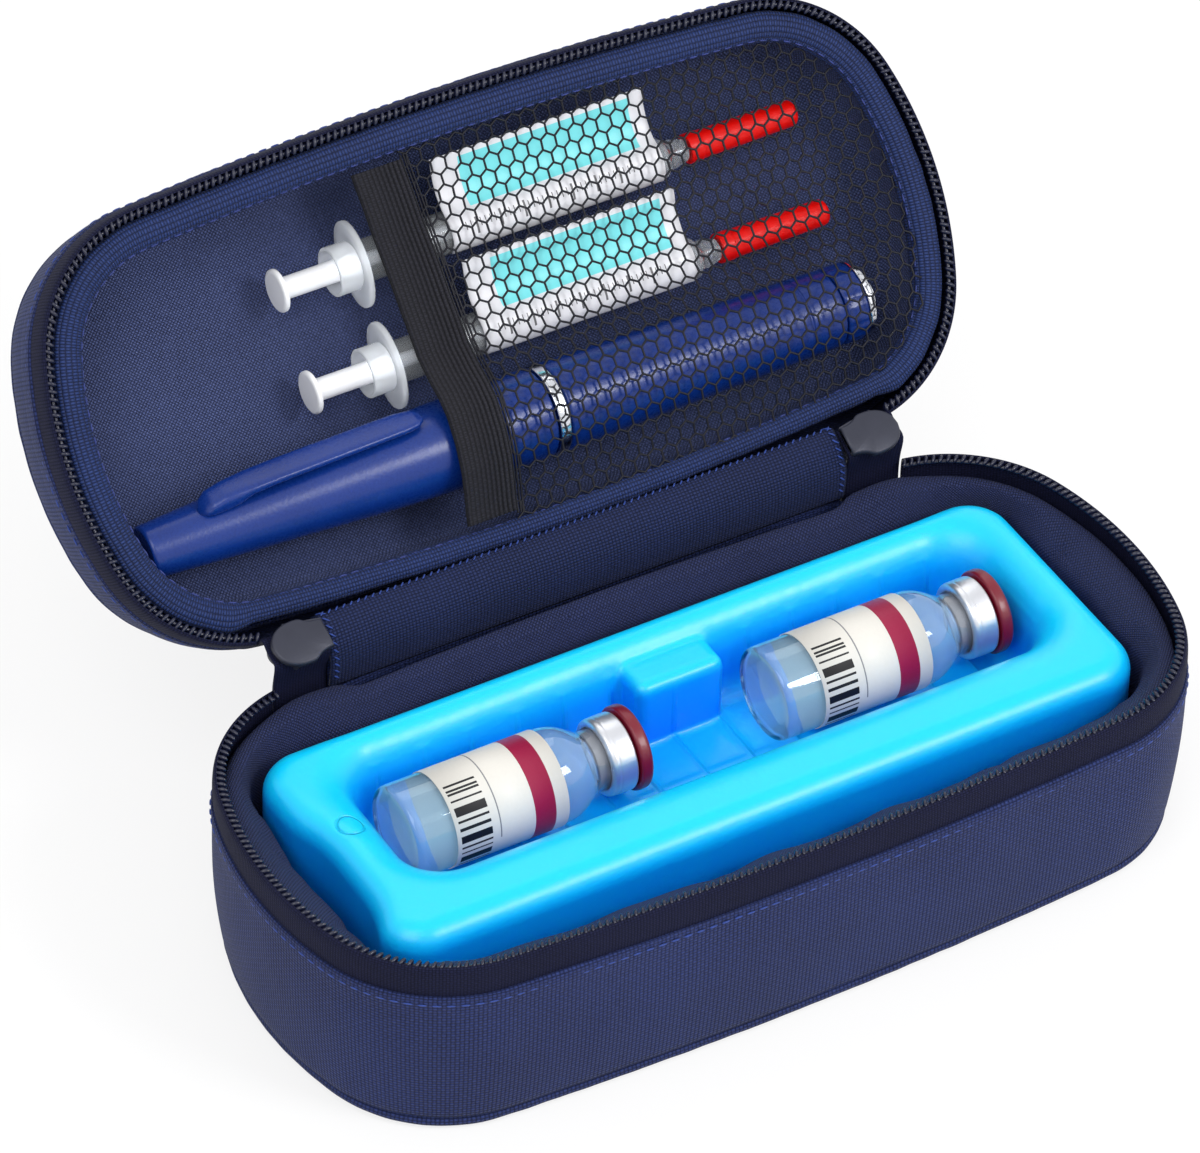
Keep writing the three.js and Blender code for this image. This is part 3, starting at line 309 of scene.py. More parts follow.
def cardFinish():
    made = Finish("cardPaper", specular=0.4, coat=0.1)
    u, v = made.cloth.axis(0), made.cloth.axis(1)
    fibre = made.place.noise(1300, 3)
    paper = fibre.mix(dimmed(cardLook["paper"], 0.95), shade(*cardLook["paper"]))
    block = u.between(*cardLook["blockAt"][0]) * v.between(*cardLook["blockAt"][1])
    short, tall = (((u % pitch) < wide) * v.between(low, high)
                   for pitch, wide, low, high in (cardLook["shortTick"], cardLook["tallTick"]))
    ticks = (short + tall).clamp() * u.between(*cardLook["ticksAt"])
    inked = (ticks * cardLook["tickInk"]).mix(paper, shade(*cardLook["ink"]))
    return made.painted(colour=block.mix(inked, shade(*cardLook["block"])), normal=fibre.bump(0.00005),
                        roughness=cardLook["rough"] + fibre * 0.2)


finishes.update(penPlastic=penFinish(), packPlastic=packFinish(), clearPlastic=barrelFinish(),
                labelPaper=labelFinish(), cardPaper=cardFinish())
print("finishes made")


# mesh helpers

hingeAt = np.array((0, case["hingeY"], case["hingeZ"]))


def place(points):
    return np.asarray(points, float) * mm


def unit(values):
    return np.clip(values, 0, 1)


def spinOf(count):
    return np.linspace(0, 2 * math.pi, count, endpoint=False)


def asIs(points):
    return np.array(points, float)


def swung(points, degrees):  # from a frame on the hinge's line, turned about it
    turn = math.radians(degrees)
    x, y, z = np.moveaxis(asIs(points), -1, 0)
    return np.stack([x, y * math.cos(turn) + z * math.sin(turn), z * math.cos(turn) - y * math.sin(turn)], -1) + hingeAt


def opened(points):  # from the closed lid to the open one
    return swung(asIs(points) - hingeAt, case["openAngle"])


def halfTurned(points):  # from a slider's own frame, turned half as far as the lid
    return swung(points, case["openAngle"] / 2)


def addObject(name, data):
    made = bpy.data.objects.new(name, data)
    bpy.context.scene.collection.objects.link(made)
    return made


def linkPiece(name, data, finish):
    made = bmesh.new()
    made.from_mesh(data)
    bmesh.ops.remove_doubles(made, verts=made.verts, dist=1e-7)
    bmesh.ops.recalc_face_normals(made, faces=made.faces)
    made.to_mesh(data)
    made.free()
    data.polygons.foreach_set("use_smooth", [True] * len(data.polygons))
    data.materials.clear()
    data.materials.append(finish)
    return addObject(name, data)


def meshPiece(name, points, faces, finish, corners=()):
    data = bpy.data.meshes.new(name)
    data.from_pydata([tuple(p) for p in place(points).reshape(-1, 3)], [], faces)
    if corners:
        layer = data.uv_layers.new(name="cloth")
        layer.data.foreach_set("uv", [value for face in corners for uv in face for value in uv])
    return linkPiece(name, data, finish)


def roundRect(x, y, halfX, halfY, corner):
    qx, qy = np.abs(x) - halfX + corner, np.abs(y) - halfY + corner
    return np.hypot(np.maximum(qx, 0), np.maximum(qy, 0)) + np.minimum(np.maximum(qx, qy), 0) - corner


def lengths(line, closed):
    steps = np.linalg.norm(np.diff(line, axis=0), axis=1)
    total = np.concatenate([[0], np.cumsum(steps)])
    return np.append(total, total[-1] + np.linalg.norm(line[0] - line[-1])) if closed else total


def gridPiece(name, grid, finish, around=True, across=True, caps=False, turn=asIs, floors=False):
    n, m = grid.shape[:2]
    along = max((lengths(grid[:, j], around) for j in range(m)), key=lambda run: run[-1])
    over = lengths(grid[n // 2], across)
    ahead, beside = np.roll(grid, -1, 0), np.roll(grid, -1, 1)
    tilt = np.cross(np.roll(ahead, -1, 1) - grid, beside - ahead)
    level = floors & (np.abs(tilt[..., 2]) > 0.75 * np.linalg.norm(tilt, axis=2))  # flat cloth is woven by x and y
    faces, corners = [], []
    for i in range(n if around else n - 1):
        for j in range(m if across else m - 1):
            k, l = (i + 1) % n, (j + 1) % m
            faces.append((i * m + j, k * m + j, k * m + l, i * m + l))
            if level[i, j]:
                corners.append([tuple(grid[q][:2]) for q in ((i, j), (k, j), (k, l), (i, l))])
            else:
                corners.append([(along[p], over[q]) for p, q in ((i, j), (i + 1, j), (i + 1, j + 1), (i, j + 1))])
    ends = []
    if caps and not around:
        ends = [range(m), range((n - 1) * m, n * m)]
    if caps and not across:
        ends = [range(0, n * m, m), range(m - 1, n * m, m)]
    for end in ends:
        faces.append(tuple(end))
        corners.append([(p[0], p[1] if around else p[2]) for p in grid.reshape(-1, 3)[list(end)]])
    return meshPiece(name, turn(grid), faces, finish, corners)


def strip(along, section):  # a section in y and z, set at each x
    return np.stack(np.broadcast_arrays(along[:, None], section[None, :, 0], section[None, :, 1]), -1)


def ruffle(grid, amount, size, seed=0.0, stretch=(1, 1, 1), mask=1.0):
    along = np.roll(grid, -1, 0) - np.roll(grid, 1, 0)
    normal = np.cross(along, np.gradient(grid, axis=1))
    normal /= np.linalg.norm(normal, axis=2, keepdims=True) + 1e-9
    spots = grid / size * np.array(stretch) + seed
    waves = np.array([noise.noise(Vector(p)) for p in spots.reshape(-1, 3)]).reshape(grid.shape[:2])
    return grid + normal * (waves * mask * amount)[..., None]


def softLine(points, steps=4, closed=False):
    pts = np.asarray(points, float)
    n = len(pts)
    made = []
    for i in range(n if closed else n - 1):
        a, b, c, d = ((pts[(i + k) % n] if closed else pts[min(max(i + k, 0), n - 1)]) for k in (-1, 0, 1, 2))
        for t in np.arange(steps) / steps:
            bend = (2 * a - 5 * b + 4 * c - d) * t**2 + (3 * b - a - 3 * c + d) * t**3
            made.append(0.5 * (2 * b + (c - a) * t + bend))
    return np.array(made if closed else made + [pts[-1]])


def filleted(points, radius, steps=4):
    pts = [np.array(p[:2], float) for p in points]
    made = [pts[0]]
    for i in range(1, len(pts) - 1):
        r = points[i][2] if len(points[i]) > 2 else radius
        a, b = pts[i - 1] - pts[i], pts[i + 1] - pts[i]
        la, lb = np.linalg.norm(a), np.linalg.norm(b)
        cut = min(r, la * 0.49, lb * 0.49)
        if cut < 1e-4:
            made.append(pts[i])
            continue
        start, end = pts[i] + a / la * cut, pts[i] + b / lb * cut
        for t in np.linspace(0, 1, steps + 1):
            made.append((1 - t) ** 2 * start + 2 * t * (1 - t) * pts[i] + t**2 * end)
    return np.array(made + [pts[-1]])


def thickened(line, weight):
    line = np.asarray(line, float)
    step = np.gradient(line, axis=-2)
    normal = np.stack([-step[..., 1], step[..., 0]], -1)
    normal /= np.linalg.norm(normal, axis=-1, keepdims=True)
    return np.concatenate([line, (line - normal * weight)[..., ::-1, :]], -2)


def lathe(name, profile, finish, at, steps=56, turn=asIs, flutes=None):
    closed = bool(np.allclose(profile[0], profile[-1]))
    x, radius = profile[: len(profile) - closed].T
    spin = spinOf(steps)[:, None]
    radius = radius * flutes(spin, radius) if flutes else radius
    ring = (at[0] + x, at[1] + radius * np.sin(spin), at[2] - radius * np.cos(spin))
    return gridPiece(name, np.stack(np.broadcast_arrays(*ring), -1), finish, across=closed, turn=turn)


def rideOn(body, slot, *pieces):
    for piece in pieces:
        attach(piece, body)


def turnRows(prefix, at, rows, turn=asIs, steps=56, bends=4, flutes=None):  # round pieces, one profile in each row
    for name, node, body, slot, finish, bend, line in rows:
        piece = lathe(prefix + name, filleted(line, bend, bends), finishes[finish], at, steps, turn, flutes)
        piece.visible_shadow = finish not in clearFinishes
        rideOn(body, slot, piece)
        if node:
            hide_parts(node)


# the case's outline as a track: points, outward directions and distances

def outlineOf(length, width, corner, bowSide, bowEnd, fine=40):
    cornerX, cornerY = length / 2 - corner - bowEnd, width / 2 - corner - bowSide
    sideR, endR = (cornerX**2 + bowSide**2) / (2 * bowSide), (cornerY**2 + bowEnd**2) / (2 * bowEnd)
    side, end, q = math.asin(cornerX / sideR), math.asin(cornerY / endR), math.pi / 2
    sideC, endC = width / 2 - corner - sideR, length / 2 - corner - endR
    arcs = [(0, sideC, sideR, 0, side), (cornerX, cornerY, 0, side, q - end), (endC, 0, endR, q - end, q + end),
            (cornerX, -cornerY, 0, q + end, 2 * q - side), (0, -sideC, sideR, 2 * q - side, 2 * q + side),
            (-cornerX, -cornerY, 0, 2 * q + side, 3 * q - end), (-endC, 0, endR, 3 * q - end, 3 * q + end),
            (-cornerX, cornerY, 0, 3 * q + end, 4 * q - side), (0, sideC, sideR, 4 * q - side, 4 * q)]
    turns = np.concatenate([np.linspace(start, stop, fine, endpoint=False) for *_, start, stop in arcs])
    centres = np.concatenate([np.tile((x, y), (fine, 1)) for x, y, *_ in arcs])
    reach = np.concatenate([np.full(fine, r + corner) for _, _, r, _, _ in arcs])
    out = np.stack([np.sin(turns), np.cos(turns)], 1)
    return centres + out * reach[:, None], out


rimAt, rimOut = outlineOf(case["length"], case["width"], case["corner"], case["sideBow"], case["endBow"])
rimRun = lengths(rimAt, True)
rimQuarter = len(rimAt) // 4


def trackOf(count, gap=0.0):
    start = np.interp(gap, rimAt[:rimQuarter, 0], rimRun[:rimQuarter]) if gap else 0.0
    runs = np.linspace(start, rimRun[-1] - start, count, endpoint=bool(gap))
    columns = np.hstack([rimAt, rimOut]).T
    pick = np.stack([np.interp(runs, rimRun, [*column, column[0]]) for column in columns], 1)
    return pick[:, :2], pick[:, 2:] / np.linalg.norm(pick[:, 2:], axis=1, keepdims=True)


wholeRim = trackOf(case["steps"])
zipRim = trackOf(case["steps"], case["zipEnd"])


def sweep(track, section, level):
    at, out = track
    section = np.asarray(section, float)
    if section.ndim == 2:
        section = np.broadcast_to(section, (len(at), *section.shape))
    flat = at[:, None] - out[:, None] * section[..., :1]
    return np.concatenate([flat, level(section[..., 1:])], 2)


def onBase(rise):
    return case["baseHeight"] - rise


def onLid(rise):
    return case["baseHeight"] + rise


def lean(rise, depth):
    return case["lean"] * rise / depth


# Geometry Nodes: one tree sets a small shape along a path, another turns edges into threads

class Tree:
    def __init__(self, name, *numbers):
        self.group = bpy.data.node_groups.new(name, "GeometryNodeTree")
        kinds = {"Geometry": "NodeSocketGeometry", "Finish": "NodeSocketMaterial"}
        for label in ("Geometry", *numbers, "Finish"):
            kind = kinds.get(label, "NodeSocketFloat")
            self.group.interface.new_socket(label, in_out="INPUT", socket_type=kind)
        self.group.interface.new_socket("Geometry", in_out="OUTPUT", socket_type="NodeSocketGeometry")
        self.value = self.group.nodes.new("NodeGroupInput").outputs

    def add(self, kind, settings=None, out=0, **inputs):
        made = self.group.nodes.new(kind)
        for key, value in (settings or {}).items():
            setattr(made, key, value)
        for key, value in inputs.items():
            socket = made.inputs[int(key[1:]) if key[1:].isdigit() else key.replace("_", " ")]  # n0 is the first input
            if isinstance(value, bpy.types.NodeSocket):
                self.group.links.new(value, socket)
            else:
                socket.default_value = value
        return made.outputs[out]

    def ended(self, geometry):
        real = self.add("GeometryNodeRealizeInstances", Geometry=geometry)
        smooth = self.add("GeometryNodeSetShadeSmooth", Geometry=real)
        painted = self.add("GeometryNodeSetMaterial", Geometry=smooth, Material=self.value["Finish"])
        self.group.links.new(painted, self.group.nodes.new("NodeGroupOutput").inputs[0])
        return self.group


def beadTree():
    tree = Tree("beadsAlongPath", "Spacing", "Length", "Width", "Height", "Slant")
    value = tree.value
    curve = tree.add("GeometryNodeMeshToCurve", Mesh=value["Geometry"])
    points = tree.add("GeometryNodeResampleCurve", {"mode": "LENGTH"}, Curve=curve, Length=value["Spacing"])
    ball = tree.add("GeometryNodeMeshUVSphere", Segments=8, Rings=6, Radius=0.5)
    size = tree.add("ShaderNodeCombineXYZ", X=value["Length"], Y=value["Width"], Z=value["Height"])
    bead = tree.add("GeometryNodeTransform", Geometry=ball, Scale=size)
    along = tree.add("GeometryNodeInputTangent")
    side = tree.add("GeometryNodeInputNamedAttribute", {"data_type": "FLOAT_VECTOR"}, Name="side")
    first = tree.add("FunctionNodeAlignRotationToVector", {"axis": "X"}, Vector=along)
    second = tree.add("FunctionNodeAlignRotationToVector", {"axis": "Z", "pivot_axis": "X"},
                      Rotation=first, Vector=side)
    tilt = tree.add("FunctionNodeEulerToRotation", Euler=tree.add("ShaderNodeCombineXYZ", Z=value["Slant"]))
    turned = tree.add("FunctionNodeRotateRotation", {"rotation_space": "LOCAL"}, Rotation=second, Rotate_By=tilt)
    return tree.ended(tree.add("GeometryNodeInstanceOnPoints", Points=points, Instance=bead, Rotation=turned))


def threadTree():
    tree = Tree("threadsOnEdges", "Thread", "Knot")
    value = tree.value
    curve = tree.add("GeometryNodeMeshToCurve", Mesh=value["Geometry"])
    fine = tree.add("GeometryNodeResampleCurve", {"mode": "COUNT"}, Curve=curve, Count=5)
    along = tree.add("GeometryNodeSplineParameter")
    span = tree.add("ShaderNodeMath", {"operation": "MULTIPLY_ADD"}, n0=along, n1=2.0, n2=-1.0)
    square = tree.add("ShaderNodeMath", {"operation": "MULTIPLY"}, n0=span, n1=span)
    swell = tree.add("ShaderNodeMath", {"operation": "MULTIPLY_ADD"}, n0=square, n1=value["Knot"], n2=1.0)
    shaped = tree.add("GeometryNodeSetCurveRadius", Curve=fine, Radius=swell)
    ring = tree.add("GeometryNodeCurvePrimitiveCircle", Resolution=5, Radius=value["Thread"])
    return tree.ended(tree.add("GeometryNodeCurveToMesh", Curve=shaped, Profile_Curve=ring, Fill_Caps=True))


beads = beadTree()
threads = threadTree()


def grown(name, data, tree, values, finish):
    seed = addObject(name + "Path", data)
    modifier = seed.modifiers.new("grow", "NODES")
    modifier.node_group = tree
    values = {**values, "Finish": finish}
    for item in tree.interface.items_tree:
        if item.in_out == "INPUT" and item.name in values:
            modifier[item.identifier] = values[item.name]
    mesh = bpy.data.meshes.new_from_object(seed.evaluated_get(bpy.context.evaluated_depsgraph_get()))
    mesh.name = name
    bpy.data.objects.remove(seed)
    if "side" in mesh.attributes:
        mesh.attributes.remove(mesh.attributes["side"])
    return linkPiece(name, mesh, finish)


def pathMesh(name, lines, sides, closed=False):
    data = bpy.data.meshes.new(name)
    points, edges = [], []
    for line in lines:
        base = len(points)
        points += [tuple(p) for p in place(line)]
        edges += [(base + i, base + i + 1) for i in range(len(line) - 1)]
        edges += [(base + len(line) - 1, base)] if closed else []
    data.from_pydata(points, edges, [])
    attribute = data.attributes.new("side", "FLOAT_VECTOR", "POINT")
    attribute.data.foreach_set("vector", np.concatenate(sides).astype(np.float32).ravel())
    return data


def beadRow(name, lines, sides, finish, closed=False, slant=0.0, **sizes):
    values = {key.capitalize(): value * mm for key, value in sizes.items()}
    return grown(name, pathMesh(name, lines, sides, closed), beads, {**values, "Slant": slant}, finishes[finish])


# the sewn halves of the case

sewing = {
    "bulge": {"base": 0.8, "lid": 0.5}, "hem": 0.3, "hemDepth": 4.5, "cloth": 1.0, "wallTop": 8.2, "wallFoot": 3.6,
    "welt": 1.6, "weltAt": (1.7, 1.9), "panelEdge": 2.7, "lining": 0.5, "fill": 0.7,
    "tape": [(1.2, 11.8), (0.8, 8.2), (0.55, 6.2), (0.5, 4.4), (0.55, 2.8), (0.7, 1.4), (1.05, 0.6), (1.5, 0.55)],
    "tapeWeight": -0.6, "core": (2.3, 1.6, 0.5, 8), "teethAt": (2.3, 0.9), "stitchDrop": 1.7, "stitchProud": 0.43,
}
teethSize = {"spacing": 1.6, "length": 1.0, "width": 2.5, "height": 1.4, "slant": 0.35}
stitchSize = {"spacing": 2.9, "length": 2.0, "width": 0.45, "height": 0.4}
linings = {  # inset from the rim and distance from the opening, from the rim to the floor
    "base": [(2.4, 7.6), (2.6, 6.0), (3.3, 4.9), (4.7, 4.5), (6.4, 5.2), (7.6, 7.6), (8.3, 12), (8.5, 20), (8.4, 28),
             (8.8, 35), (10.4, 38.8), (13.5, 39.9), (20, 40.0), (28, 40.0)],
    "lid": [(6.2, 5.6), (6.9, 8.5), (7.5, 12.0), (8.6, 15.6), (11.2, 18.2), (16, 19.1), (22, 19.3), (30, 19.3)],
}
folds = {  # height, size and seed of the small waves, and how far they stretch along each axis
    "wall": [(0.35, 26, 3.0), (0.14, 8, 9.0, (1, 1, 0.5))], "welt": [(0.12, 5, 5.0)], "panel": [(0.12, 30, 7.0)],
    "lining": (1.0, 13.0, 1.0, (1, 1, 0.4)), "loose": {"base": 2.1, "lid": 0.5},
}
tuck = {  # how the base's lining fills the room beside the cold pack, and makes way for the hinge panel
    "rear": 2.6, "rearHalf": 62.0, "clear": 2.0, "wall": 9.0, "least": -0.6, "most": 4.0, "reach": (6, 24, 0.25),
    "top": 4.6, "foot": 38.6, "lift": 1.8, "liftAt": 70, "liftHalf": 9, "liftDepth": 12,
}


def liningSection(half):
    line = softLine(linings[half][::-1])  # from the floor's middle up to the rim, then back behind it
    section = np.broadcast_to(line, (case["steps"], *line.shape)).copy()
    if half == "base":
        (at, out), (inset, rise) = wholeRim, line.T
        steps = np.arange(*tuck["reach"])
        spots = at[:, None] - out[:, None] * steps[None, :, None]
        hit = roundRect(spots[..., 0], spots[..., 1] - case["packY"], *case["packHalf"], case["packCorner"]) < 0
        room = np.where(hit.any(1), steps[hit.argmax(1)], tuck["reach"][1])
        puff = np.clip(room - tuck["clear"] - tuck["wall"], tuck["least"], tuck["most"])
        full = unit((rise - tuck["top"]) / 5) * unit((tuck["foot"] - rise) / 6)
        behind = at[:, 1] > 20
        rear = unit((tuck["rearHalf"] - np.abs(at[:, 0])) / 4) * behind
        section[..., 0] += puff[:, None] * full + rear[:, None] * unit((9 - inset) / 6.4) * tuck["rear"]
        beside = np.exp(-(((np.abs(at[:, 0]) - tuck["liftAt"]) / tuck["liftHalf"]) ** 2)) * behind * tuck["lift"]
        section[..., 1] -= beside[:, None] * unit((tuck["liftDepth"] - rise) / 6)
    return thickened(section, sewing["lining"])


def wallSection(half, depth):
    top, foot = sewing["wallTop"], depth - sewing["wallFoot"]
    rise = np.linspace(top, foot, 22)
    inset = lean(rise, depth) - sewing["bulge"][half] * np.sin(math.pi * (rise - top) / (foot - top)) ** 0.8
    inset -= sewing["hem"] * unit(1 - (rise - top) / sewing["hemDepth"]) ** 0.5
    outer = np.stack([inset, rise], 1)
    inner = np.stack([inset + sewing["cloth"], rise], 1)[::-1]
    roll = [(inset[0] + 0.7, top - 0.35), (inset[0] + 0.25, top - 0.3)]
    return np.vstack([outer, inner, roll])


def circle(inset, rise, radius, count):
    turn = spinOf(count)
    return np.stack([inset + radius * np.cos(turn), rise + radius * np.sin(turn)], 1)


def rowOn(track, inset, rise, level, turn, face):
    line = sweep(track, [(inset, rise)], level)[:, 0]
    out = np.concatenate([track[1] * face[0], np.full((len(line), 1), face[1])], 1)
    return turn(line), turn(line + out) - turn(line)


def sewnHalf(half, depth, level, turn):
    inset, rise = sewing["weltAt"]
    edge = lean(depth, depth) + sewing["panelEdge"]
    outer = [(edge + 0.6, 0.5), (edge + 4, 0.2), (14, 0.05), (20, 0), (26, 0)]
    panel = np.array([(26, 1.6), (20, 1.6), (edge + 1, 1.6), (edge, 1.1)] + outer) * (1, -1) + (0, depth)
    grids = {"wall": wallSection(half, depth), "panel": panel,
             "welt": circle(lean(depth - 2, depth) + inset, depth - rise, sewing["welt"], 14)}
    for name, section in grids.items():
        grids[name] = sweep(wholeRim, section, level)
        for fold in folds[name]:
            grids[name] = ruffle(grids[name], *fold)
    flat = (level(depth), None) if half == "base" else (None, level(depth))  # the panel stays inside its outer face
    grids["panel"][..., 2] = np.clip(grids["panel"][..., 2], *flat)
    lining = sweep(wholeRim, liningSection(half), level)
    down = np.abs(lining[..., 2] - level(0))
    loose = folds["loose"][half] * (1 - 0.6 * unit((wholeRim[0][:, 1] - 30) / 10))[:, None]
    grids["lining"] = ruffle(lining, *folds["lining"], loose * unit((down - 4) / 8) * unit((depth - 7.2 - down) / 4))
    grids["tape"] = sweep(zipRim, thickened(softLine(sewing["tape"], 3), sewing["tapeWeight"]), level)
    grids["core"] = sweep(zipRim, circle(*sewing["core"]), level)
    flatCloth = {"across": False, "caps": True, "floors": True}
    openEnds = {"around": False, "caps": True}
    inner = "trayCloth" if half == "base" else "liningCloth"
    face = "_bottom_panel" if half == "base" else "_top_panel"
    rows = (("wall", "WallCloth", "outerCloth", "outer_cloth", ("_side_wall", "_foam"), {}),
            ("welt", "Welt", "outerCloth", "outer_cloth", ("_piping",), {}),
            ("panel", "Panel", "outerCloth", "outer_cloth", (face,), flatCloth),
            ("lining", "LiningCloth", inner, "lining_cloth", ("_lining",), flatCloth),
            ("tape", "ZipTape", "zipTape", "zip_tape", ("_zip_tape",), openEnds),
            ("core", "ZipCore", "zipNylon", "zip_nylon", (), openEnds))
    for part, name, finish, slot, nodes, shape in rows:
        piece = gridPiece(half + name, grids[part], finishes[finish], turn=turn, **shape)
        rideOn(half, slot, piece)
        if nodes:
            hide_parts(*[half + node for node in nodes])
        part == "wall"


def trimHalf(half, depth, level, turn):
    line, side = rowOn(zipRim, *sewing["teethAt"], level, turn, (0, 1 if half == "lid" else -1))
    teeth = beadRow(half + "ZipTeeth", [line], [side], "zipNylon", **teethSize)
    rideOn(half, "zip_nylon", teeth)
    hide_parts(half + "_zip_coil")
    drop = sewing["wallTop"] + sewing["stitchDrop"]
    line, side = rowOn(wholeRim, lean(drop, depth) - sewing["stitchProud"], drop, level, turn, (1, 0))
    rideOn(half, "binding_cloth", beadRow(half + "TopStitches", [line], [side], "stitchThread", True, **stitchSize))


for half, depth, level, turn in (("base", case["baseHeight"], onBase, asIs), ("lid", case["lidHeight"], onLid, opened)):
    sewnHalf(half, depth, level, turn)
    trimHalf(half, depth, level, turn)
    print(half, "sewn")


# binding round the lid's rim, with a lapped joint

binding = {"section": [(3.5, 3.4), (3.9, 1.7), (5.6, 0.75), (7.8, 0.8), (9.5, 1.9), (10.1, 3.6), (9.6, 5.3), (7.6, 5.9),
                       (5.0, 5.4)],
           "outerInset": 3.5, "innerInset": 10.2, "rearInset": 5.3, "rearHalf": 82, "lapAt": 28.0, "lapLength": 12.0,
           "lapRise": 0.5, "pucker": (0.22, 5.5, 2.0), "seamAt": (9.75, 2.2), "seamFace": (-0.6, -0.8),
           "seam": {"spacing": 2.8, "length": 2.0, "width": 0.4, "height": 0.35}}


def makeBinding():
    at = wholeRim[0]
    line = softLine(binding["section"], 4, True)
    section = np.broadcast_to(line, (len(at), *line.shape)).copy()
    rear = unit((binding["rearHalf"] - np.abs(at[:, 0])) / 6) * (at[:, 1] > 20)
    inner = binding["innerInset"]
    narrow = (inner - binding["rearInset"]) / (inner - binding["outerInset"])
    squeezed = inner - (inner - section[..., 0]) * narrow
    section[..., 0] += (squeezed - section[..., 0]) * rear[:, None]
    lap = np.exp(-(((at[:, 0] - binding["lapAt"]) / (binding["lapLength"] / 2)) ** 8)) * (at[:, 1] > 0)
    section[..., 1] -= (lap * binding["lapRise"])[:, None] * (section[..., 1] < 3)
    grid = ruffle(sweep(wholeRim, section, onLid), *binding["pucker"])
    ring = gridPiece("lidBindingTape", grid, finishes["bindingCloth"], turn=opened)
    line, side = rowOn(wholeRim, *binding["seamAt"], onLid, opened, binding["seamFace"])
    stitches = beadRow("bindingStitches", [line], [side], "seamThread", True, **binding["seam"])
    rideOn("lid", "binding_cloth", ring, stitches)
    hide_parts("lid_binding")


makeBinding()


# hinge: cloth outside, lining panel inside, and the zip tapes' ends that meet in the sliders

hinge = {
    "cloth": [(47.65, 34.7), (47.85, 39.0), (48.05, 44.0), (48.3, 48.2), (49.4, 50.6), (51.7, 51.3), (54.2, 50.0),
              (56.6, 48.3), (59.8, 46.1)],
    "lining": [(46.5, 40.6), (46.1, 43.4), (45.8, 46.6), (46.2, 50.2), (47.7, 53.2), (50.0, 55.2), (52.2, 55.7),
               (53.6, 54.6), (55.2, 53.0)],
    "thickness": 0.8, "half": 62.0, "wave": 0.35, "stitchEnd": 60.8, "stitchRow": 24, "stitchTrim": 4,
    "stitch": {"spacing": 1.7, "length": 1.8, "width": 0.4, "height": 0.4, "slant": 0.8},
}
zipEnds = {"from": 62.3, "to": 75.4, "thickness": 0.6, "foot": [(0.9, 37.0), (0.7, 42.0), (0.9, 46.5)], "grip": 3.4,
           "channel": 1.7, "rows": 14}
shield = {"outline": [(0, 3.2), (2.2, 3.5), (3.6, 4.1), (4.6, 4.75), (6.0, 4.95), (8.4, 4.75), (10.6, 3.8), (12.1, 2.1),
                      (12.6, 0)],
          "middle": (6.2, 0.0), "from": 62.3, "front": -7.4, "back": -5.7, "shift": -0.6}


def hingeStrip(name, line, finish, seed):
    section = thickened(softLine(line), hinge["thickness"])
    across = np.linspace(-hinge["half"], hinge["half"], 110)
    grid = strip(across, section)
    ripple = np.array([noise.noise(Vector((x / 14, seed, 0))) + 0.5 * noise.noise(Vector((x / 5, seed, 4)))
                       for x in across])
    held = np.sin(math.pi * np.linspace(0, 1, len(section) // 2))
    grid[..., 2] += hinge["wave"] * ripple[:, None] * np.concatenate([held, held[::-1]])
    return gridPiece(name, grid, finishes[finish], around=False, caps=True)


def makeZipEnd(side, sign):
    turn = math.radians(case["openAngle"] / 2)
    rows = []
    for x in np.linspace(zipEnds["from"], zipEnds["to"], zipEnds["rows"]):
        rear = np.interp(x, *rimAt[:rimQuarter].T)
        foot = [(rear - inset - case["hingeY"], z - case["hingeZ"]) for inset, z in zipEnds["foot"]]
        low = [(y * math.cos(turn) - z * math.sin(turn), y * math.sin(turn) + z * math.cos(turn)) for y, z in foot]
        channel = rear - case["hingeY"] - zipEnds["channel"]
        low += [(channel, -zipEnds["grip"]), (channel, -0.4)]
        section = thickened(softLine(low + [(y, -z) for y, z in low[::-1]]), zipEnds["thickness"])
        rows.append(np.column_stack([np.full(len(section), sign * x), section]))
    tape = gridPiece(side + "ZipEndTape", halfTurned(rows), finishes["zipTape"], around=False, caps=True)
    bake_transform(tape)
    long = lengths(rows[6][: len(rows[6]) // 2, 1:], False)[-1]
    long * mm


def makeShield(side, sign):
    edge = softLine(shield["outline"], 3)
    rim = np.vstack([edge, edge[-2::-1] * (1, -1)])
    front, back = shield["front"], shield["back"]
    levels = [(0.0, back), (0.93, back), (1.0, back - 0.25), (1.0, front + 0.4), (0.97, front + 0.15), (0.9, front),
              (0.0, front - 0.15)]
    grid = np.zeros((len(rim), len(levels), 3))
    for j, (size, y) in enumerate(levels):
        x, z = (shield["middle"] + (rim - shield["middle"]) * size).T
        grid[:, j] = np.column_stack([sign * (shield["from"] + x), np.full(len(rim), y), z + shield["shift"]])
    plate = gridPiece(side + "SliderShield", halfTurned(grid), finishes["sliderMetal"])
    rideOn("slider_" + side, "slider_metal", plate)


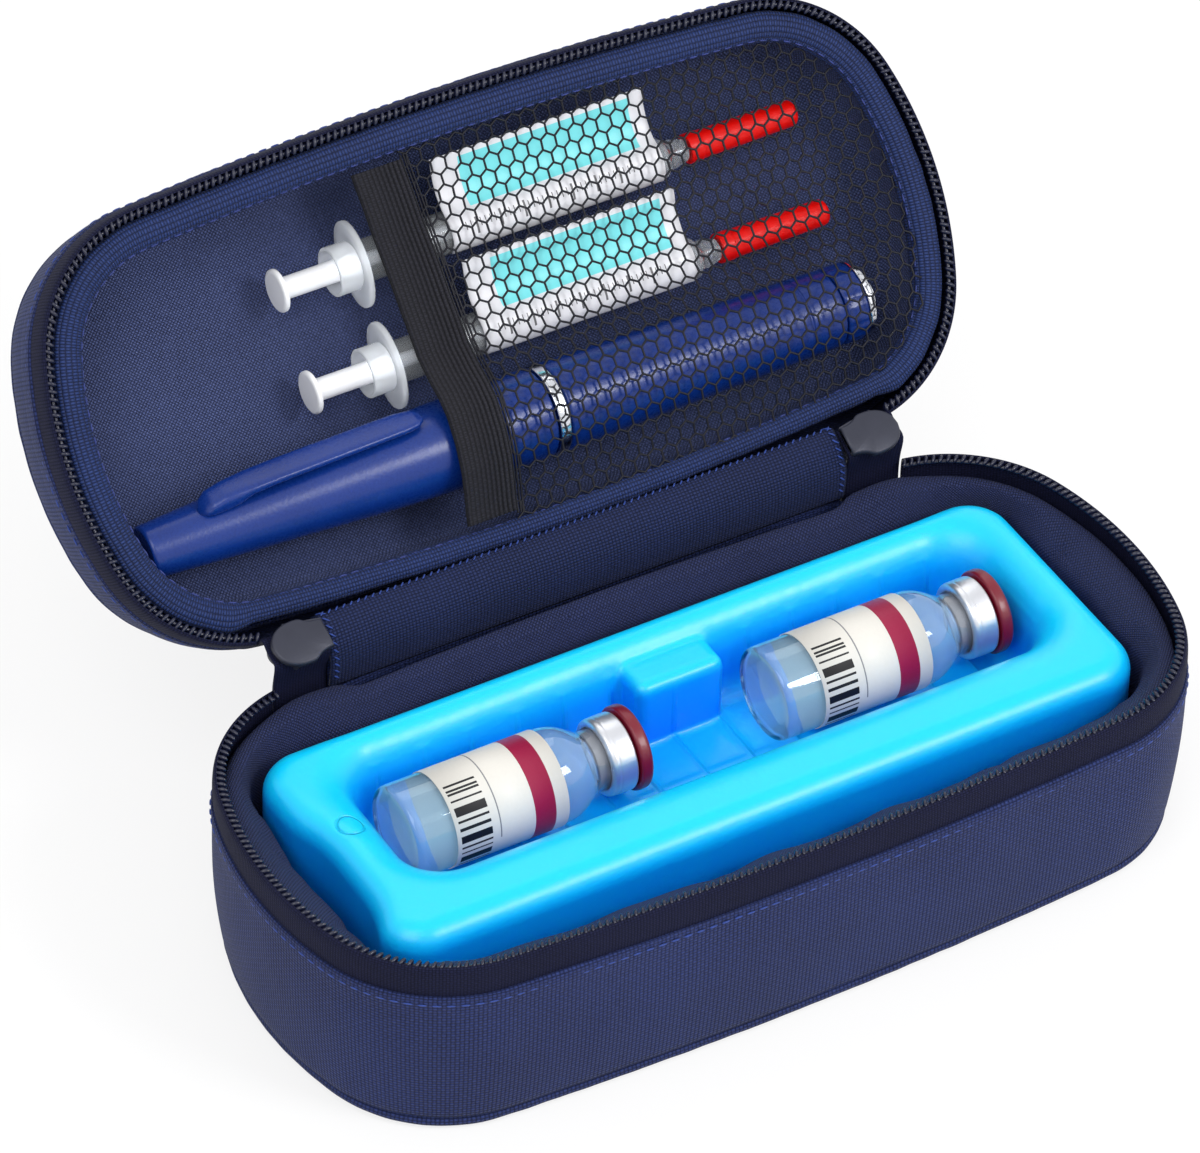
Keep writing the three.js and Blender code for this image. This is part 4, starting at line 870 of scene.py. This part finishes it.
def makeHingeStitches():
    line = softLine(hinge["lining"])
    step = np.gradient(line, axis=0)
    out = np.stack([-step[:, 1], step[:, 0]], 1) / np.linalg.norm(step, axis=1, keepdims=True)
    sewn = slice(hinge["stitchTrim"], -hinge["stitchTrim"])
    lines, faces = [], []
    for x in (-hinge["stitchEnd"], hinge["stitchEnd"]):
        path = (line + out * 0.12)[sewn]
        lines.append(np.column_stack([np.full(len(path), x), path]))
        faces.append(np.column_stack([np.zeros(len(path)), out[sewn]]))
    row = hinge["stitchRow"]
    run = np.linspace(-hinge["stitchEnd"], hinge["stitchEnd"], 80)
    lines.append(np.column_stack([run, np.tile(line[row] + out[row] * 0.2, (80, 1))]))
    faces.append(np.tile((0, *out[row]), (80, 1)))
    return beadRow("hingeStitches", lines, faces, "stitchThread", **hinge["stitch"])


hingeOuter = hingeStrip("hingeOuterCloth", hinge["cloth"], "outerCloth", 1.0)
hingeLining = hingeStrip("hingeInnerCloth", hinge["lining"], "hingeCloth", 6.0)
hingeStitches = makeHingeStitches()
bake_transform(hingeOuter)
for piece in (hingeLining, hingeStitches):
    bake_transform(piece)
for piece, node, slot, depth in ((hingeOuter, "hinge_cloth", "outer_cloth", 30.5),
                                 (hingeLining, "hinge_lining", "lining_cloth", 23.5)):
    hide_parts(node)
    depth * mm
for side, sign in (("left", -1), ("right", 1)):
    makeZipEnd(side, sign)
    makeShield(side, sign)
print("binding and hinge sewn")


# net pocket and its elastic, on the lid's inner face

net = {"left": -12.0, "hexSide": 1.95, "stretch": 1.08, "thread": 0.25, "knot": 1.0, "bow": 2.5, "bowHalf": 40,
       "rimInset": 8.6,
       "heights": [(-42, 2.4), (-36, 3.6), (-24, 5.4), (-8, 5.6), (2, 4.9), (7, 2.8), (11, 0.4), (15, -1.2),
                   (21.3, -1.8), (27, -1.3), (31, -0.2), (36, 1.4), (42, 2.2)],
       "sewnHeight": 2.6, "sewnAt": 97, "area": (112, 90), "waver": 0.25, "seed": 5, "selvage": (0.2, 0.9, 1.6), "selvageHalf": 39}
elastic = {"left": -23.8, "right": -12.3, "half": 38.2, "ribs": 10, "ribHeight": 0.28, "thickness": 1.2,
           "stretch": 1.02}


def netHeight(x, y):
    base = np.interp(y, *zip(*net["heights"]))
    return net["sewnHeight"] + (base - net["sewnHeight"]) * unit((net["sewnAt"] - x) / 14) ** 0.7


def mouthAt(y):  # the mouth bows into the pocket between its sewn ends
    return net["bow"] * (1 - (y / net["bowHalf"]) ** 2)


def insideOf(points, polygon):
    x, y = points.T
    inside = np.zeros(len(points), bool)
    for (x0, y0), (x1, y1) in zip(polygon, np.roll(polygon, -1, 0)):
        if y0 != y1:
            inside ^= ((y0 > y) != (y1 > y)) & (x < (x1 - x0) * (y - y0) / (y1 - y0) + x0)
    return inside


def makeNet():
    a = net["hexSide"]
    wide, tall = a * math.sqrt(3), a * 1.5 * net["stretch"]
    corners = [(a * math.sin(k * math.pi / 3), a * net["stretch"] * math.cos(k * math.pi / 3)) for k in range(6)]
    knots, edges = {}, set()
    for row in range(int(net["area"][1] / tall)):
        for col in range(int(net["area"][0] / wide)):
            x, y = net["left"] + (col + 0.5 * (row % 2)) * wide, -44 + row * tall
            ring = [knots.setdefault((round(x + dx, 3), round(y + dy, 3)), len(knots)) for dx, dy in corners]
            edges |= {tuple(sorted((ring[k], ring[(k + 1) % 6]))) for k in range(6)}
    flat = np.array(list(knots))
    rim = wholeRim[0] - wholeRim[1] * net["rimInset"]
    kept = insideOf(flat, rim) & (flat[:, 0] > net["left"] + mouthAt(flat[:, 1]) - 0.6)
    noise.seed_set(net["seed"])  # noise_vector takes its offset from the clock otherwise
    flat = flat + np.array([noise.noise_vector(Vector((x / 6, y / 6, 0)))[:2] for x, y in flat]) * net["waver"]
    points = place(opened(np.column_stack([flat, onLid(netHeight(*flat.T))])))
    data = bpy.data.meshes.new("netThreads")
    data.from_pydata([tuple(p) for p in points], [(i, j) for i, j in edges if kept[i] and kept[j]], [])
    values = {"Thread": net["thread"] * mm, "Knot": net["knot"]}
    mesh = grown("pocketNet", data, threads, values, finishes["netThread"])
    y = np.linspace(-net["selvageHalf"], net["selvageHalf"], 90)
    pairs = []
    for x in net["selvage"]:
        start = net["left"] + x + mouthAt(y)
        row = opened(np.column_stack([start, y, onLid(netHeight(start, y) - 0.1)]))
        pairs += [np.array(pair) for pair in zip(row[:-1], row[1:])]
    values["Knot"] = 0.2
    selvage = grown("netSelvage", pathMesh("selvage", pairs, pairs), threads, values, finishes["netThread"])
    area = sum(p.area for p in mesh.data.polygons) / 2
    rideOn("lid", "net", mesh, selvage)
    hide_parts("pocket_net")


def makeElastic():
    y = np.linspace(-elastic["half"], elastic["half"], 90)[:, None]
    width = elastic["right"] - elastic["left"]
    t = np.linspace(0, 1, elastic["ribs"] * 6 + 1)
    ribbed = elastic["ribHeight"] * np.abs(np.sin(t * math.pi * elastic["ribs"]))
    edge = unit(np.minimum(t, 1 - t) / 0.03) ** 0.5
    x = elastic["left"] + np.concatenate([t, t[::-4]]) * width
    rise = np.concatenate([-(ribbed + 0.4) * edge, np.full(len(t[::-4]), elastic["thickness"] - 0.5)])
    grid = np.stack(np.broadcast_arrays(x + mouthAt(y), y, onLid(netHeight(-19, y) - 0.9 + rise)), -1)
    band = gridPiece("pocketElastic", grid, finishes["elasticCloth"], around=False, caps=True, turn=opened)
    rideOn("lid", "elastic", band)
    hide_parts("pocket_elastic")


makeNet()
makeElastic()
print("net pocket made")


# cold pack: a blown shell with a ribbed well

pack = {"half": case["packHalf"], "y": case["packY"], "low": 7.0, "high": 43.0, "corner": case["packCorner"],
        "edge": 5.5, "wellAt": (2.5, 6.5), "wellHalf": (75.5, 18.0), "wellFloor": 23.0, "wellCorner": 9.0, "draft": 2.0,
        "lip": 10.0,
        "ribPitch": 11.0, "ribHalf": 0.75, "ribHeight": 0.4, "ribSink": 1.5, "ribFade": 18,  # ribs sink away upwards
        "spine": (4, 0.5, 16), "block": (4.5, 21.0, 10.5, 5.0, 39.0), "blockCorner": 2.5, "plug": (-79.4, 6.5, 2.8),
        "plugGroove": 0.45, "dent": (-4.0, 3.4, 16.0), "skin": 6, "voxel": 0.85}


def softMax(a, b, k):
    h = np.maximum(k - np.abs(a - b), 0) / k
    return np.maximum(a, b) + h * h * k / 4


def softMin(a, b, k):
    return -softMax(-a, -b, k)


def packField(p):
    x, y, z = np.moveaxis(p, -1, 0)
    dentY, depth, spread = pack["dent"]
    side = roundRect(x, y - pack["y"], *pack["half"], pack["corner"])
    side = side + depth * np.exp(-(((y - dentY) / spread) ** 4)) * unit((-60 - x) / 20)
    tall = np.abs(z - (pack["low"] + pack["high"]) / 2) - (pack["high"] - pack["low"]) / 2
    over, beyond = side + pack["edge"], tall + pack["edge"]
    body = np.hypot(np.maximum(over, 0), np.maximum(beyond, 0)) + np.minimum(np.maximum(over, beyond), 0) - pack["edge"]
    taper = pack["draft"] * (pack["high"] - z) / (pack["high"] - pack["wellFloor"])
    wx, wy = pack["wellAt"]
    well = roundRect(x - wx, y - wy, *(half - taper for half in pack["wellHalf"]), pack["wellCorner"])
    well = softMax(well, pack["wellFloor"] - z, 5.0)
    rib = np.abs((x - wx + pack["ribPitch"] / 2) % pack["ribPitch"] - pack["ribPitch"] / 2) - pack["ribHalf"]
    spineY, spineHalf, spineReach = pack["spine"]
    spine = np.maximum(np.abs(y - wy + spineY) - spineHalf, np.abs(x - wx) - spineReach)
    fade = unit((pack["high"] - 2 - z) / pack["ribFade"])
    rib = np.maximum(np.minimum(rib, spine), -(well + (pack["ribHeight"] + pack["ribSink"]) * fade - pack["ribSink"]))
    bx, by, halfX, halfY, top = pack["block"]
    block = softMax(roundRect(x - bx, y - by, halfX, halfY, pack["blockCorner"]), z - top, 3.0)
    px, py, radius = pack["plug"]
    groove = np.hypot(np.hypot(x - px, y - py) - radius, z - pack["high"]) - pack["plugGroove"]
    shell = softMax(body, -well, pack["lip"])
    inner = np.maximum(softMin(np.maximum(rib, z - pack["high"] + pack["skin"]), block, 0.5), tall + 3)
    shell = softMin(shell, np.maximum(inner, side + pack["skin"]), 1.2)
    return softMax(shell, -groove, 0.4)


def surfaceNet(field, low, high, step):  # a mesh where the field crosses zero, one point in each cell that it crosses
    axes = [np.arange(low[k], high[k] + step, step) for k in range(3)]
    value = field(np.stack(np.meshgrid(*axes, indexing="ij"), -1))
    inside = value < 0
    size = np.array(value.shape) - 1
    total, count = np.zeros((*size, 3)), np.zeros(tuple(size))
    first, last = slice(None, -1), slice(1, None)
    for axis in range(3):
        others = [k for k in range(3) if k != axis]
        for p, q in ((0, 0), (0, 1), (1, 0), (1, 1)):
            start, end = [first] * 3, [first] * 3
            end[axis] = last
            for k, shift in zip(others, (p, q)):
                start[k] = end[k] = last if shift else first
            a, b = value[tuple(start)], value[tuple(end)]
            hit = (a < 0) != (b < 0)
            spot = np.zeros((*size, 3))
            spot[..., axis] = np.where(hit, a / np.where(hit, a - b, 1), 0)
            spot[..., others] = p, q
            total += spot * hit[..., None]
            count += hit
    used = count > 0
    index = np.full(tuple(size), -1)
    index[used] = np.arange(used.sum())
    points = (np.argwhere(used) + total[used] / count[used][:, None]) * step + np.array([a[0] for a in axes])
    faces = []
    for axis in range(3):
        j, k = (axis + 1) % 3, (axis + 2) % 3
        near, far = [slice(1, -1)] * 3, [slice(1, -1)] * 3
        near[axis], far[axis] = first, last
        cross = inside[tuple(near)] != inside[tuple(far)]
        spots = np.argwhere(cross)
        spots[:, [j, k]] += 1
        ring = []
        for dj, dk in ((1, 1), (0, 1), (0, 0), (1, 0)):
            cell = spots.copy()
            cell[:, j] -= dj
            cell[:, k] -= dk
            ring.append(index[tuple(cell.T)])
        quads = np.stack(ring, 1).tolist()
        faces += [tuple(quad if flip else quad[::-1]) for quad, flip in zip(quads, inside[tuple(near)][cross])]
    return points, faces


def makePack():
    low = np.array([-pack["half"][0], pack["y"] - pack["half"][1], pack["low"]]) - 2
    high = np.array([pack["half"][0], pack["y"] + pack["half"][1], pack["high"]]) + 2
    points, faces = surfaceNet(packField, low, high, pack["voxel"])
    nudge, furthest = 0.05, 0.3
    for _ in range(3):  # draw the points onto the field's own surface
        value = packField(points)
        slope = np.stack([packField(points + nudge * axis) - value for axis in np.eye(3)], -1) / nudge
        points = points - slope * (value / np.maximum((slope**2).sum(-1), 0.3))[:, None].clip(-furthest, furthest)
    piece = meshPiece("coldPack", points, faces, finishes["packPlastic"])
    rideOn("cold_pack", "pack_plastic", piece)
    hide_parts("cold_pack_shell", "cold_pack_gel", "cold_pack_plug")
    print("cold pack made,", len(faces), "faces")


makePack()


# two vials, lying in the well: each point of a profile is a distance along the axis, a radius and a fillet

vial = {"radius": 10.3, "wall": 1.2, "body": 39.0, "shoulder": 44.2, "neck": 6.7, "bore": 4.4, "mouth": 50.3,
        "axis": (6.5, 35.05), "starts": {"left": -69.2, "right": 18.0}, "label": (9, 35), "paper": (0.08, 0.2),
        "stopper": [(44.6, 0), (44.6, 5.6, 0.4), (50.35, 5.6, 0.2), (50.4, 6.4, 0.3), (52.2, 6.4, 0.5), (52.2, 0)],
        "crimp": [(47.0, 6.85), (46.9, 7.4, 0.3), (47.3, 8.3, 0.4), (48.2, 8.5, 0.3), (48.6, 8.4, 0.2),
                  (49.0, 8.5, 0.3), (52.7, 8.5, 0.6), (53.0, 5.0, 0.2), (52.4, 5.0, 0.1), (52.35, 6.85), (47.0, 6.85)],
        "cap": [(53.15, 0), (53.15, 8.9, 0.2), (53.5, 9.2, 0.3), (55.6, 9.2, 0.7), (56.2, 8.0, 0.4), (55.9, 6.8, 0.4),
                (55.8, 0)]}


def makeVial(side, start):
    at, body = (start, *vial["axis"]), "vial_" + side
    r, w, end, shoulder = (vial[k] for k in ("radius", "wall", "body", "shoulder"))
    neck, bore, mouth = (vial[k] for k in ("neck", "bore", "mouth"))
    outer = [(0.4, 0), (0, r - 3), (0, r, 1.6), (end, r, 3.5), (shoulder, neck + 0.1, 1.8),
             (mouth - 3, neck - 0.2, 0.5), (mouth - 2.6, neck, 0.4), (mouth, neck, 0.4)]
    inner = [(mouth, bore, 0.4), (shoulder - 0.2, bore, 1.5), (end - 0.6, r - w, 3), (w + 0.1, r - w, 1.5),
             (w + 0.4, 3), (w + 0.9, 0)]
    fill = [(w + 0.7, 0), (w + 0.3, 3), (w - 0.1, r - w + 0.12, 1.4), (end - 0.6, r - w + 0.12, 3),
            (shoulder - 0.2, bore + 0.1, 1.2), (shoulder + 0.2, bore + 0.1), (shoulder + 0.2, 0)]
    (near, far), (under, over) = vial["label"], vial["paper"]
    paper = [(near, r + under), (near, r + over), (far, r + over), (far, r + under), (near, r + under)]
    turnRows(body, at, (("Glass", body + "_glass", body, "glass", "glass", 0.5, outer + inner),
                        ("Liquid", body + "_liquid", body, "liquid", "liquid", 0.4, fill),
                        ("Stopper", body + "_stopper", body, "stopper_rubber", "stopperRubber", 0.3, vial["stopper"]),
                        ("Crimp", body + "_crimp", body, "crimp_metal", "crimpMetal", 0.2, vial["crimp"]),
                        ("FlipCap", body + "_flip_cap", body, "flip_plastic", "flipPlastic", 0.3, vial["cap"])))
    turnRows(body, at, [("Label", body + "_label", body, "label_paper", "labelPaper", 0, paper)], steps=72)


for side, start in vial["starts"].items():
    makeVial(side, start)
print("vials made")


# two syringes and the pen, in the lid

syringe = {"rows": {"upper": -20.3, "lower": 1.8}, "height": 12.5, "flange": -25.7, "tip": 50.0, "barrel": 4.6,
           "bore": 3.9, "oval": (9.5, 6.5), "ovalHole": 4.6, "cardFrom": -4.0, "cardLength": 51.0, "cardPaper": 0.4,
           "cardBow": 0.4,
           "cardLine": [(-15.6, 7.0), (-14.4, 7.35), (-13.2, 7.9), (-12, 8.5), (-10, 9.0), (-8, 9.2), (-5.4, 9.0),
                        (-3.6, 8.2), (-1.9, 7.45), (0, 7.2), (1.9, 7.5), (3.5, 8.6), (4.7, 10.6)],
           "collar": [(-5, 4.6), (-5, 5.4, 0.3), (0.1, 5.4, 0.3), (0.1, 4.6, 0.2), (-5, 4.6)],
           "rod": [(-18, 0), (-18, 4.2, 0.4), (-17.7, 4.7, 0.3), (-16.8, 4.7, 0.3), (-16.4, 2.4, 0.6), (33.6, 2.4),
                   (33.7, 2.4), (33.7, 0)],
           "seal": [(33.8, 0), (33.8, 3.5), (34.1, 3.78, 0.2), (35, 3.78, 0.2), (35.4, 3.5, 0.3), (37.6, 3.5, 0.3),
                    (38, 3.78, 0.2), (39, 3.78, 0.3), (40, 0)],
           "hub": [(0.2, 0.5), (0.2, 3.1, 0.3), (1.6, 3.2, 0.3), (4.7, 2.4, 0.4), (4.7, 0.5), (0.2, 0.5)],
           "cap": [(4.9, 2.0), (4.9, 3.3, 0.2), (7.9, 3.3, 0.2), (8.1, 3.15, 0.1), (31.1, 2.9, 1.0), (31.9, 1.4, 0.6),
                   (31.9, 0), (30.4, 0), (29.9, 1.4, 0.3), (4.9, 2.0)]}


def ovalPlate(name, x0, x1, axis, finish):
    spin = spinOf(72)
    hole, oval = syringe["ovalHole"], np.array(syringe["oval"])
    rim = [(x0, (hole, hole)), (x0, oval * 0.97), (x0 + 0.3, oval), (x1 - 0.3, oval), (x1, oval * 0.97),
           (x1, (hole, hole))]
    rings = [np.column_stack([np.full(len(spin), x), axis[0] + wide * np.sin(spin), axis[1] + tall * np.cos(spin)])
             for x, (wide, tall) in rim]
    return gridPiece(name, np.stack(rings, 1), finishes[finish], turn=opened)


def makeCard(name, y):
    section = thickened(softLine(syringe["cardLine"]) + (y, 0), -syringe["cardPaper"])
    along = np.linspace(0, syringe["cardLength"], 40)
    grid = strip(syringe["cardFrom"] + along, section)
    bow = unit((y - 5 - section[:, 0]) / 8) * np.sin(math.pi * along / syringe["cardLength"])[:, None]
    grid[..., 2] = onLid(grid[..., 2] - syringe["cardBow"] * bow)
    return gridPiece(name, grid, finishes["cardPaper"], around=False, caps=True, turn=opened)


def makeSyringe(row, y):
    axis = (y, onLid(syringe["height"]))
    at = (syringe["flange"], *axis)
    reach = syringe["tip"] - syringe["flange"]
    r, bore = syringe["barrel"], syringe["bore"]
    body, plunger = "syringe_" + row, "plunger_" + row
    tube = [(0.2, bore), (0.2, 5.0, 0.3), (2.2, r, 0.5), (reach - 1.2, r, 0.8), (reach, 2.6, 0.5), (reach, 0.6),
            (reach - 1.2, bore, 0.6), (0.2, bore)]
    hub, cap = ([(reach + x, *rest) for x, *rest in syringe[k]] for k in ("hub", "cap"))
    turnRows(body, at, (("Barrel", body + "_barrel", body, "clear_plastic", "clearPlastic", 0.3, tube),
                        ("Collar", None, body, "clear_plastic", "milkyPlastic", 0.3, syringe["collar"]),
                        ("Hub", body + "_hub", body, "clear_plastic", "clearPlastic", 0.2, hub)), opened)
    turnRows(body, at, [("NeedleCap", body + "_needle_cap", body, "red_plastic", "redPlastic", 0.2, cap)], opened, 40)
    turnRows(plunger, at, (("Rod", body + "_plunger", plunger, "white_plastic", "whitePlastic", 0.3, syringe["rod"]),
                           ("Seal", None, plunger, "stopper_rubber", "stopperRubber", 0.2, syringe["seal"])), opened)
    flange = ovalPlate(body + "Flange", at[0] + 0.1, at[0] + 1.6, axis, "milkyPlastic")
    flange.visible_shadow = False
    rideOn(body, "clear_plastic", flange)
    card = makeCard(body + "Card", y)
    rideOn(body, "card_paper", card)
    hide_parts(body + "_card")


for row, y in syringe["rows"].items():
    makeSyringe(row, y)

pen = {"start": -90.5, "y": 21.3, "height": 9.1, "radius": 9.7, "tip": 5.8, "taper": 66.0, "tail": 8.5, "split": 155.5,
       "flutes": 20, "fluteDepth": 0.02, "clipAngle": 45, "clipWidth": 3.1, "clipSquare": 0.55,
       "clipTop": [(12.6, 0.3), (13.4, 1.6), (15, 2.9), (18, 3.7), (21, 3.95), (24, 4.0), (30, 3.9), (45, 3.4),
                   (58, 2.9), (63, 2.5), (64.4, 2.0), (64.8, 1.6)],
       "clipUnder": [(12.6, -0.2), (13.4, -0.3), (15, -0.3), (18, -0.25), (21, 0.2), (24, 1.6), (30, 1.9), (45, 1.6),
                     (58, 1.2), (63, 0.9), (64.4, 1.2), (64.8, 1.5)],
       "clipShape": [(12.6, 0.15), (13.4, 0.66), (15, 0.92), (20, 1.0), (50, 0.96), (60, 0.92), (63, 0.74),
                     (64.4, 0.42), (64.8, 0.08)]}


def squared(values):
    return np.sign(values) * np.abs(values) ** pen["clipSquare"]


def makeClip():
    along = np.concatenate([np.linspace(12.6, 25, 26), np.linspace(26, 61, 24), np.linspace(61.5, 64.8, 12)])[:, None]
    cap = np.interp(along, (0, pen["taper"]), (pen["tip"], pen["radius"]))
    top, under, wide = (np.interp(along, *zip(*pen[k])) for k in ("clipTop", "clipUnder", "clipShape"))
    spin = spinOf(28)
    out = cap + (top + under) / 2 + (top - under) / 2 * squared(np.sin(spin))
    side = wide * pen["clipWidth"] * squared(np.cos(spin))
    c = math.cos(math.radians(pen["clipAngle"]))
    ring = (pen["start"] + along, pen["y"] - (out + side) * c, onLid(pen["height"]) - (out - side) * c)
    grid = np.stack(np.broadcast_arrays(*ring), -1)
    clip = gridPiece("penClip", grid, finishes["penPlastic"], around=False, caps=True, turn=opened)
    rideOn("lid", "pen_plastic", clip)
    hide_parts("pen_clip")


def fluted(spin, radius):
    return 1 - pen["fluteDepth"] * (0.5 + 0.5 * np.cos(spin * pen["flutes"])) * (radius > pen["tail"] - 0.3)


def makePen():
    at = (pen["start"], pen["y"], onLid(pen["height"]))
    r, tail, seam = pen["radius"], pen["tail"], pen["split"]
    cap = [(0.25, 0), (0.15, 4.6, 0.4), (0, 5.3, 0.3), (0.6, pen["tip"], 0.5), (pen["taper"], r, 14), (92.6, r, 0.3),
           (93, r - 0.4, 0.2), (93, 0)]
    ring = [(93.3, 0), (93.3, r, 0.2), (93.6, r + 0.2, 0.2), (95.6, r + 0.2, 0.2), (95.9, r, 0.2), (95.9, 0)]
    body = [(96.2, 0), (96.2, r - 0.3, 0.3), (96.6, r, 0.3), (seam, tail + 0.15, 0.3), (seam + 0.2, tail - 0.15, 0.1),
            (seam + 0.6, tail - 0.15, 0.1), (seam + 0.8, tail + 0.15, 0.2), (163.8, tail, 0.3),
            (164.2, tail - 0.4, 0.2), (164.2, 0)]
    knob = [(164.5, 5.6), (164.5, tail - 0.4, 0.3), (164.9, tail, 0.3), (169.5, tail, 0.2), (169.6, tail - 0.5, 0.1),
            (171.2, tail - 0.5, 0.1), (171.2, 5.6, 0.2), (164.5, 5.6)]
    trim = [(169.8, tail - 0.45), (169.8, tail - 0.1, 0.1), (170.0, tail + 0.05, 0.2), (171.2, tail, 0.3),
            (171.5, tail - 0.5, 0.2), (171.5, 5.6, 0.1), (171.25, 5.6, 0.05), (171.25, tail - 0.45, 0.05),
            (169.8, tail - 0.45)]
    button = [(170.3, 0), (170.3, 5.1, 0.2), (173.2, 5.15, 0.6), (173.9, 4.2, 0.6), (173.7, 0)]
    turnRows("pen", at, [("Cap", "pen_cap", "lid", "pen_plastic", "penPlastic", 0.4, cap)], opened, 80, 6)
    turnRows("pen", at, (("Ring", "pen_ring", "lid", "chrome", "chrome", 0.2, ring),
                         ("Body", "pen_body", "lid", "pen_plastic", "penPlastic", 0.3, body),
                         ("EndRing", None, "pen_knob", "chrome", "chrome", 0.1, trim)), opened, 80)
    turnRows("pen", at, [("DoseKnob", "pen_knob", "pen_knob", "pen_plastic", "penPlastic", 0.3, knob)], opened, 160,
             flutes=fluted)
    turnRows("pen", at, [("PushButton", "pen_button", "pen_button", "chrome", "chrome", 0.3, button)], opened)
    makeClip()


makePen()
print("syringes and pen made")


# solids that keep their own shape, with softened edges and the finish

kept = {"left_slider": "sliderMetal", "right_slider": "sliderMetal", "left_pull": "sliderMetal",
        "right_pull": "sliderMetal", "syringe_upper_needle": "needleSteel", "syringe_lower_needle": "needleSteel"}
for node, finish in kept.items():
    solid = bpy.data.objects[node]
    solid.data.materials.clear()
    solid.data.materials.append(finishes[finish])
    solid.modifiers.new("join", "WELD").merge_threshold = 0.00001
    soften = solid.modifiers.new("soften", "BEVEL")
    soften.width, soften.segments, soften.limit_method = 0.0003, 3, "ANGLE"


# camera, floor, sky and lamps

shot = {"right": (0.8634, -0.504, 0.0213), "up": (0.3186, 0.5777, 0.7515), "forward": (0.3911, 0.6421, -0.6594),
        "place": (-0.66565, -1.04996, 1.16975), "lens": 245.76}
studio = {"sky": 0.74, "floorTone": 0.93, "floorGlow": 0.74, "floorHalf": 4}
lamps = {  # place, aim, power and size
    "keyLamp": ((-0.9, -0.6, 1.5), (0, 0.04, 0.05), 12.5, 1.2),
    "fillLamp": ((1.2, -0.9, 1.1), (0, 0.04, 0.05), 4.0, 1.8),
    "frontLamp": ((0.62, -0.98, 1.05), (0, 0.06, 0.06), 9.0, 0.45),
    "backLamp": ((0.3, 1.2, 1.2), (0, 0.04, 0.05), 4.0, 1.2),
}


def makeCamera():
    data = bpy.data.cameras.new("photoCamera")
    data.lens = shot["lens"]
    data.sensor_width = 36
    data.clip_end = 20
    camera = addObject("photoCamera", data)
    right, up, forward = (Vector(shot[k]).normalized() for k in ("right", "up", "forward"))
    camera.matrix_world = Matrix.Translation(shot["place"]) @ Matrix((right, up, -forward)).transposed().to_4x4()
    bpy.context.scene.camera = camera


def makeLamp(name, place, aim, power, size):
    data = bpy.data.lights.new(name, "AREA")
    data.energy = power
    data.size = size
    lamp = addObject(name, data)
    lamp.location = place
    lamp.rotation_euler = (Vector(aim) - Vector(place)).to_track_quat("-Z", "Y").to_euler()


def seenPlainly(tree):  # what the camera, metal and glass see directly
    path = Sum(tree).node("ShaderNodeLightPath").socket.node
    camera, glossy, through = (Sum(tree, path.outputs[f"Is {k} Ray"]) for k in ("Camera", "Glossy", "Transmission"))
    return (camera + glossy + through).clamp()


def makeFloor():
    half = studio["floorHalf"]
    data = bpy.data.meshes.new("floor")
    data.from_pydata([(-half, -half, 0), (half, -half, 0), (half, half, 0), (-half, half, 0)], [], [(0, 1, 2, 3)])
    material = bpy.data.materials.new("paleFloor")
    tree = emptied(material)
    start = Sum(tree)
    matt = start.node("ShaderNodeBsdfDiffuse", {}, {"Color": (*[studio["floorTone"]] * 3, 1)})
    glow = start.node("ShaderNodeEmission", {}, {"Color": (1, 1, 1, 1), "Strength": 1.0})
    mixed = start.node("ShaderNodeMixShader", {}, {0: seenPlainly(tree) * studio["floorGlow"], 1: matt, 2: glow})
    tree.links.new(mixed.socket, tree.nodes.new("ShaderNodeOutputMaterial").inputs[0])
    data.materials.append(material)
    floor = addObject("floor", data)


def makeWorld():
    world = bpy.data.worlds.new("softSky")
    tree = emptied(world)
    bright = seenPlainly(tree) * (1 - studio["sky"]) + studio["sky"]
    sky = bright.node("ShaderNodeBackground", {}, {"Color": (1, 1, 1, 1), "Strength": bright})
    tree.links.new(sky.socket, tree.nodes.new("ShaderNodeOutputWorld").inputs[0])
    bpy.context.scene.world = world


makeCamera()
makeFloor()
makeWorld()
for name, values in lamps.items():
    makeLamp(name, *values)
bpy.context.scene.view_settings.view_transform = "Standard"
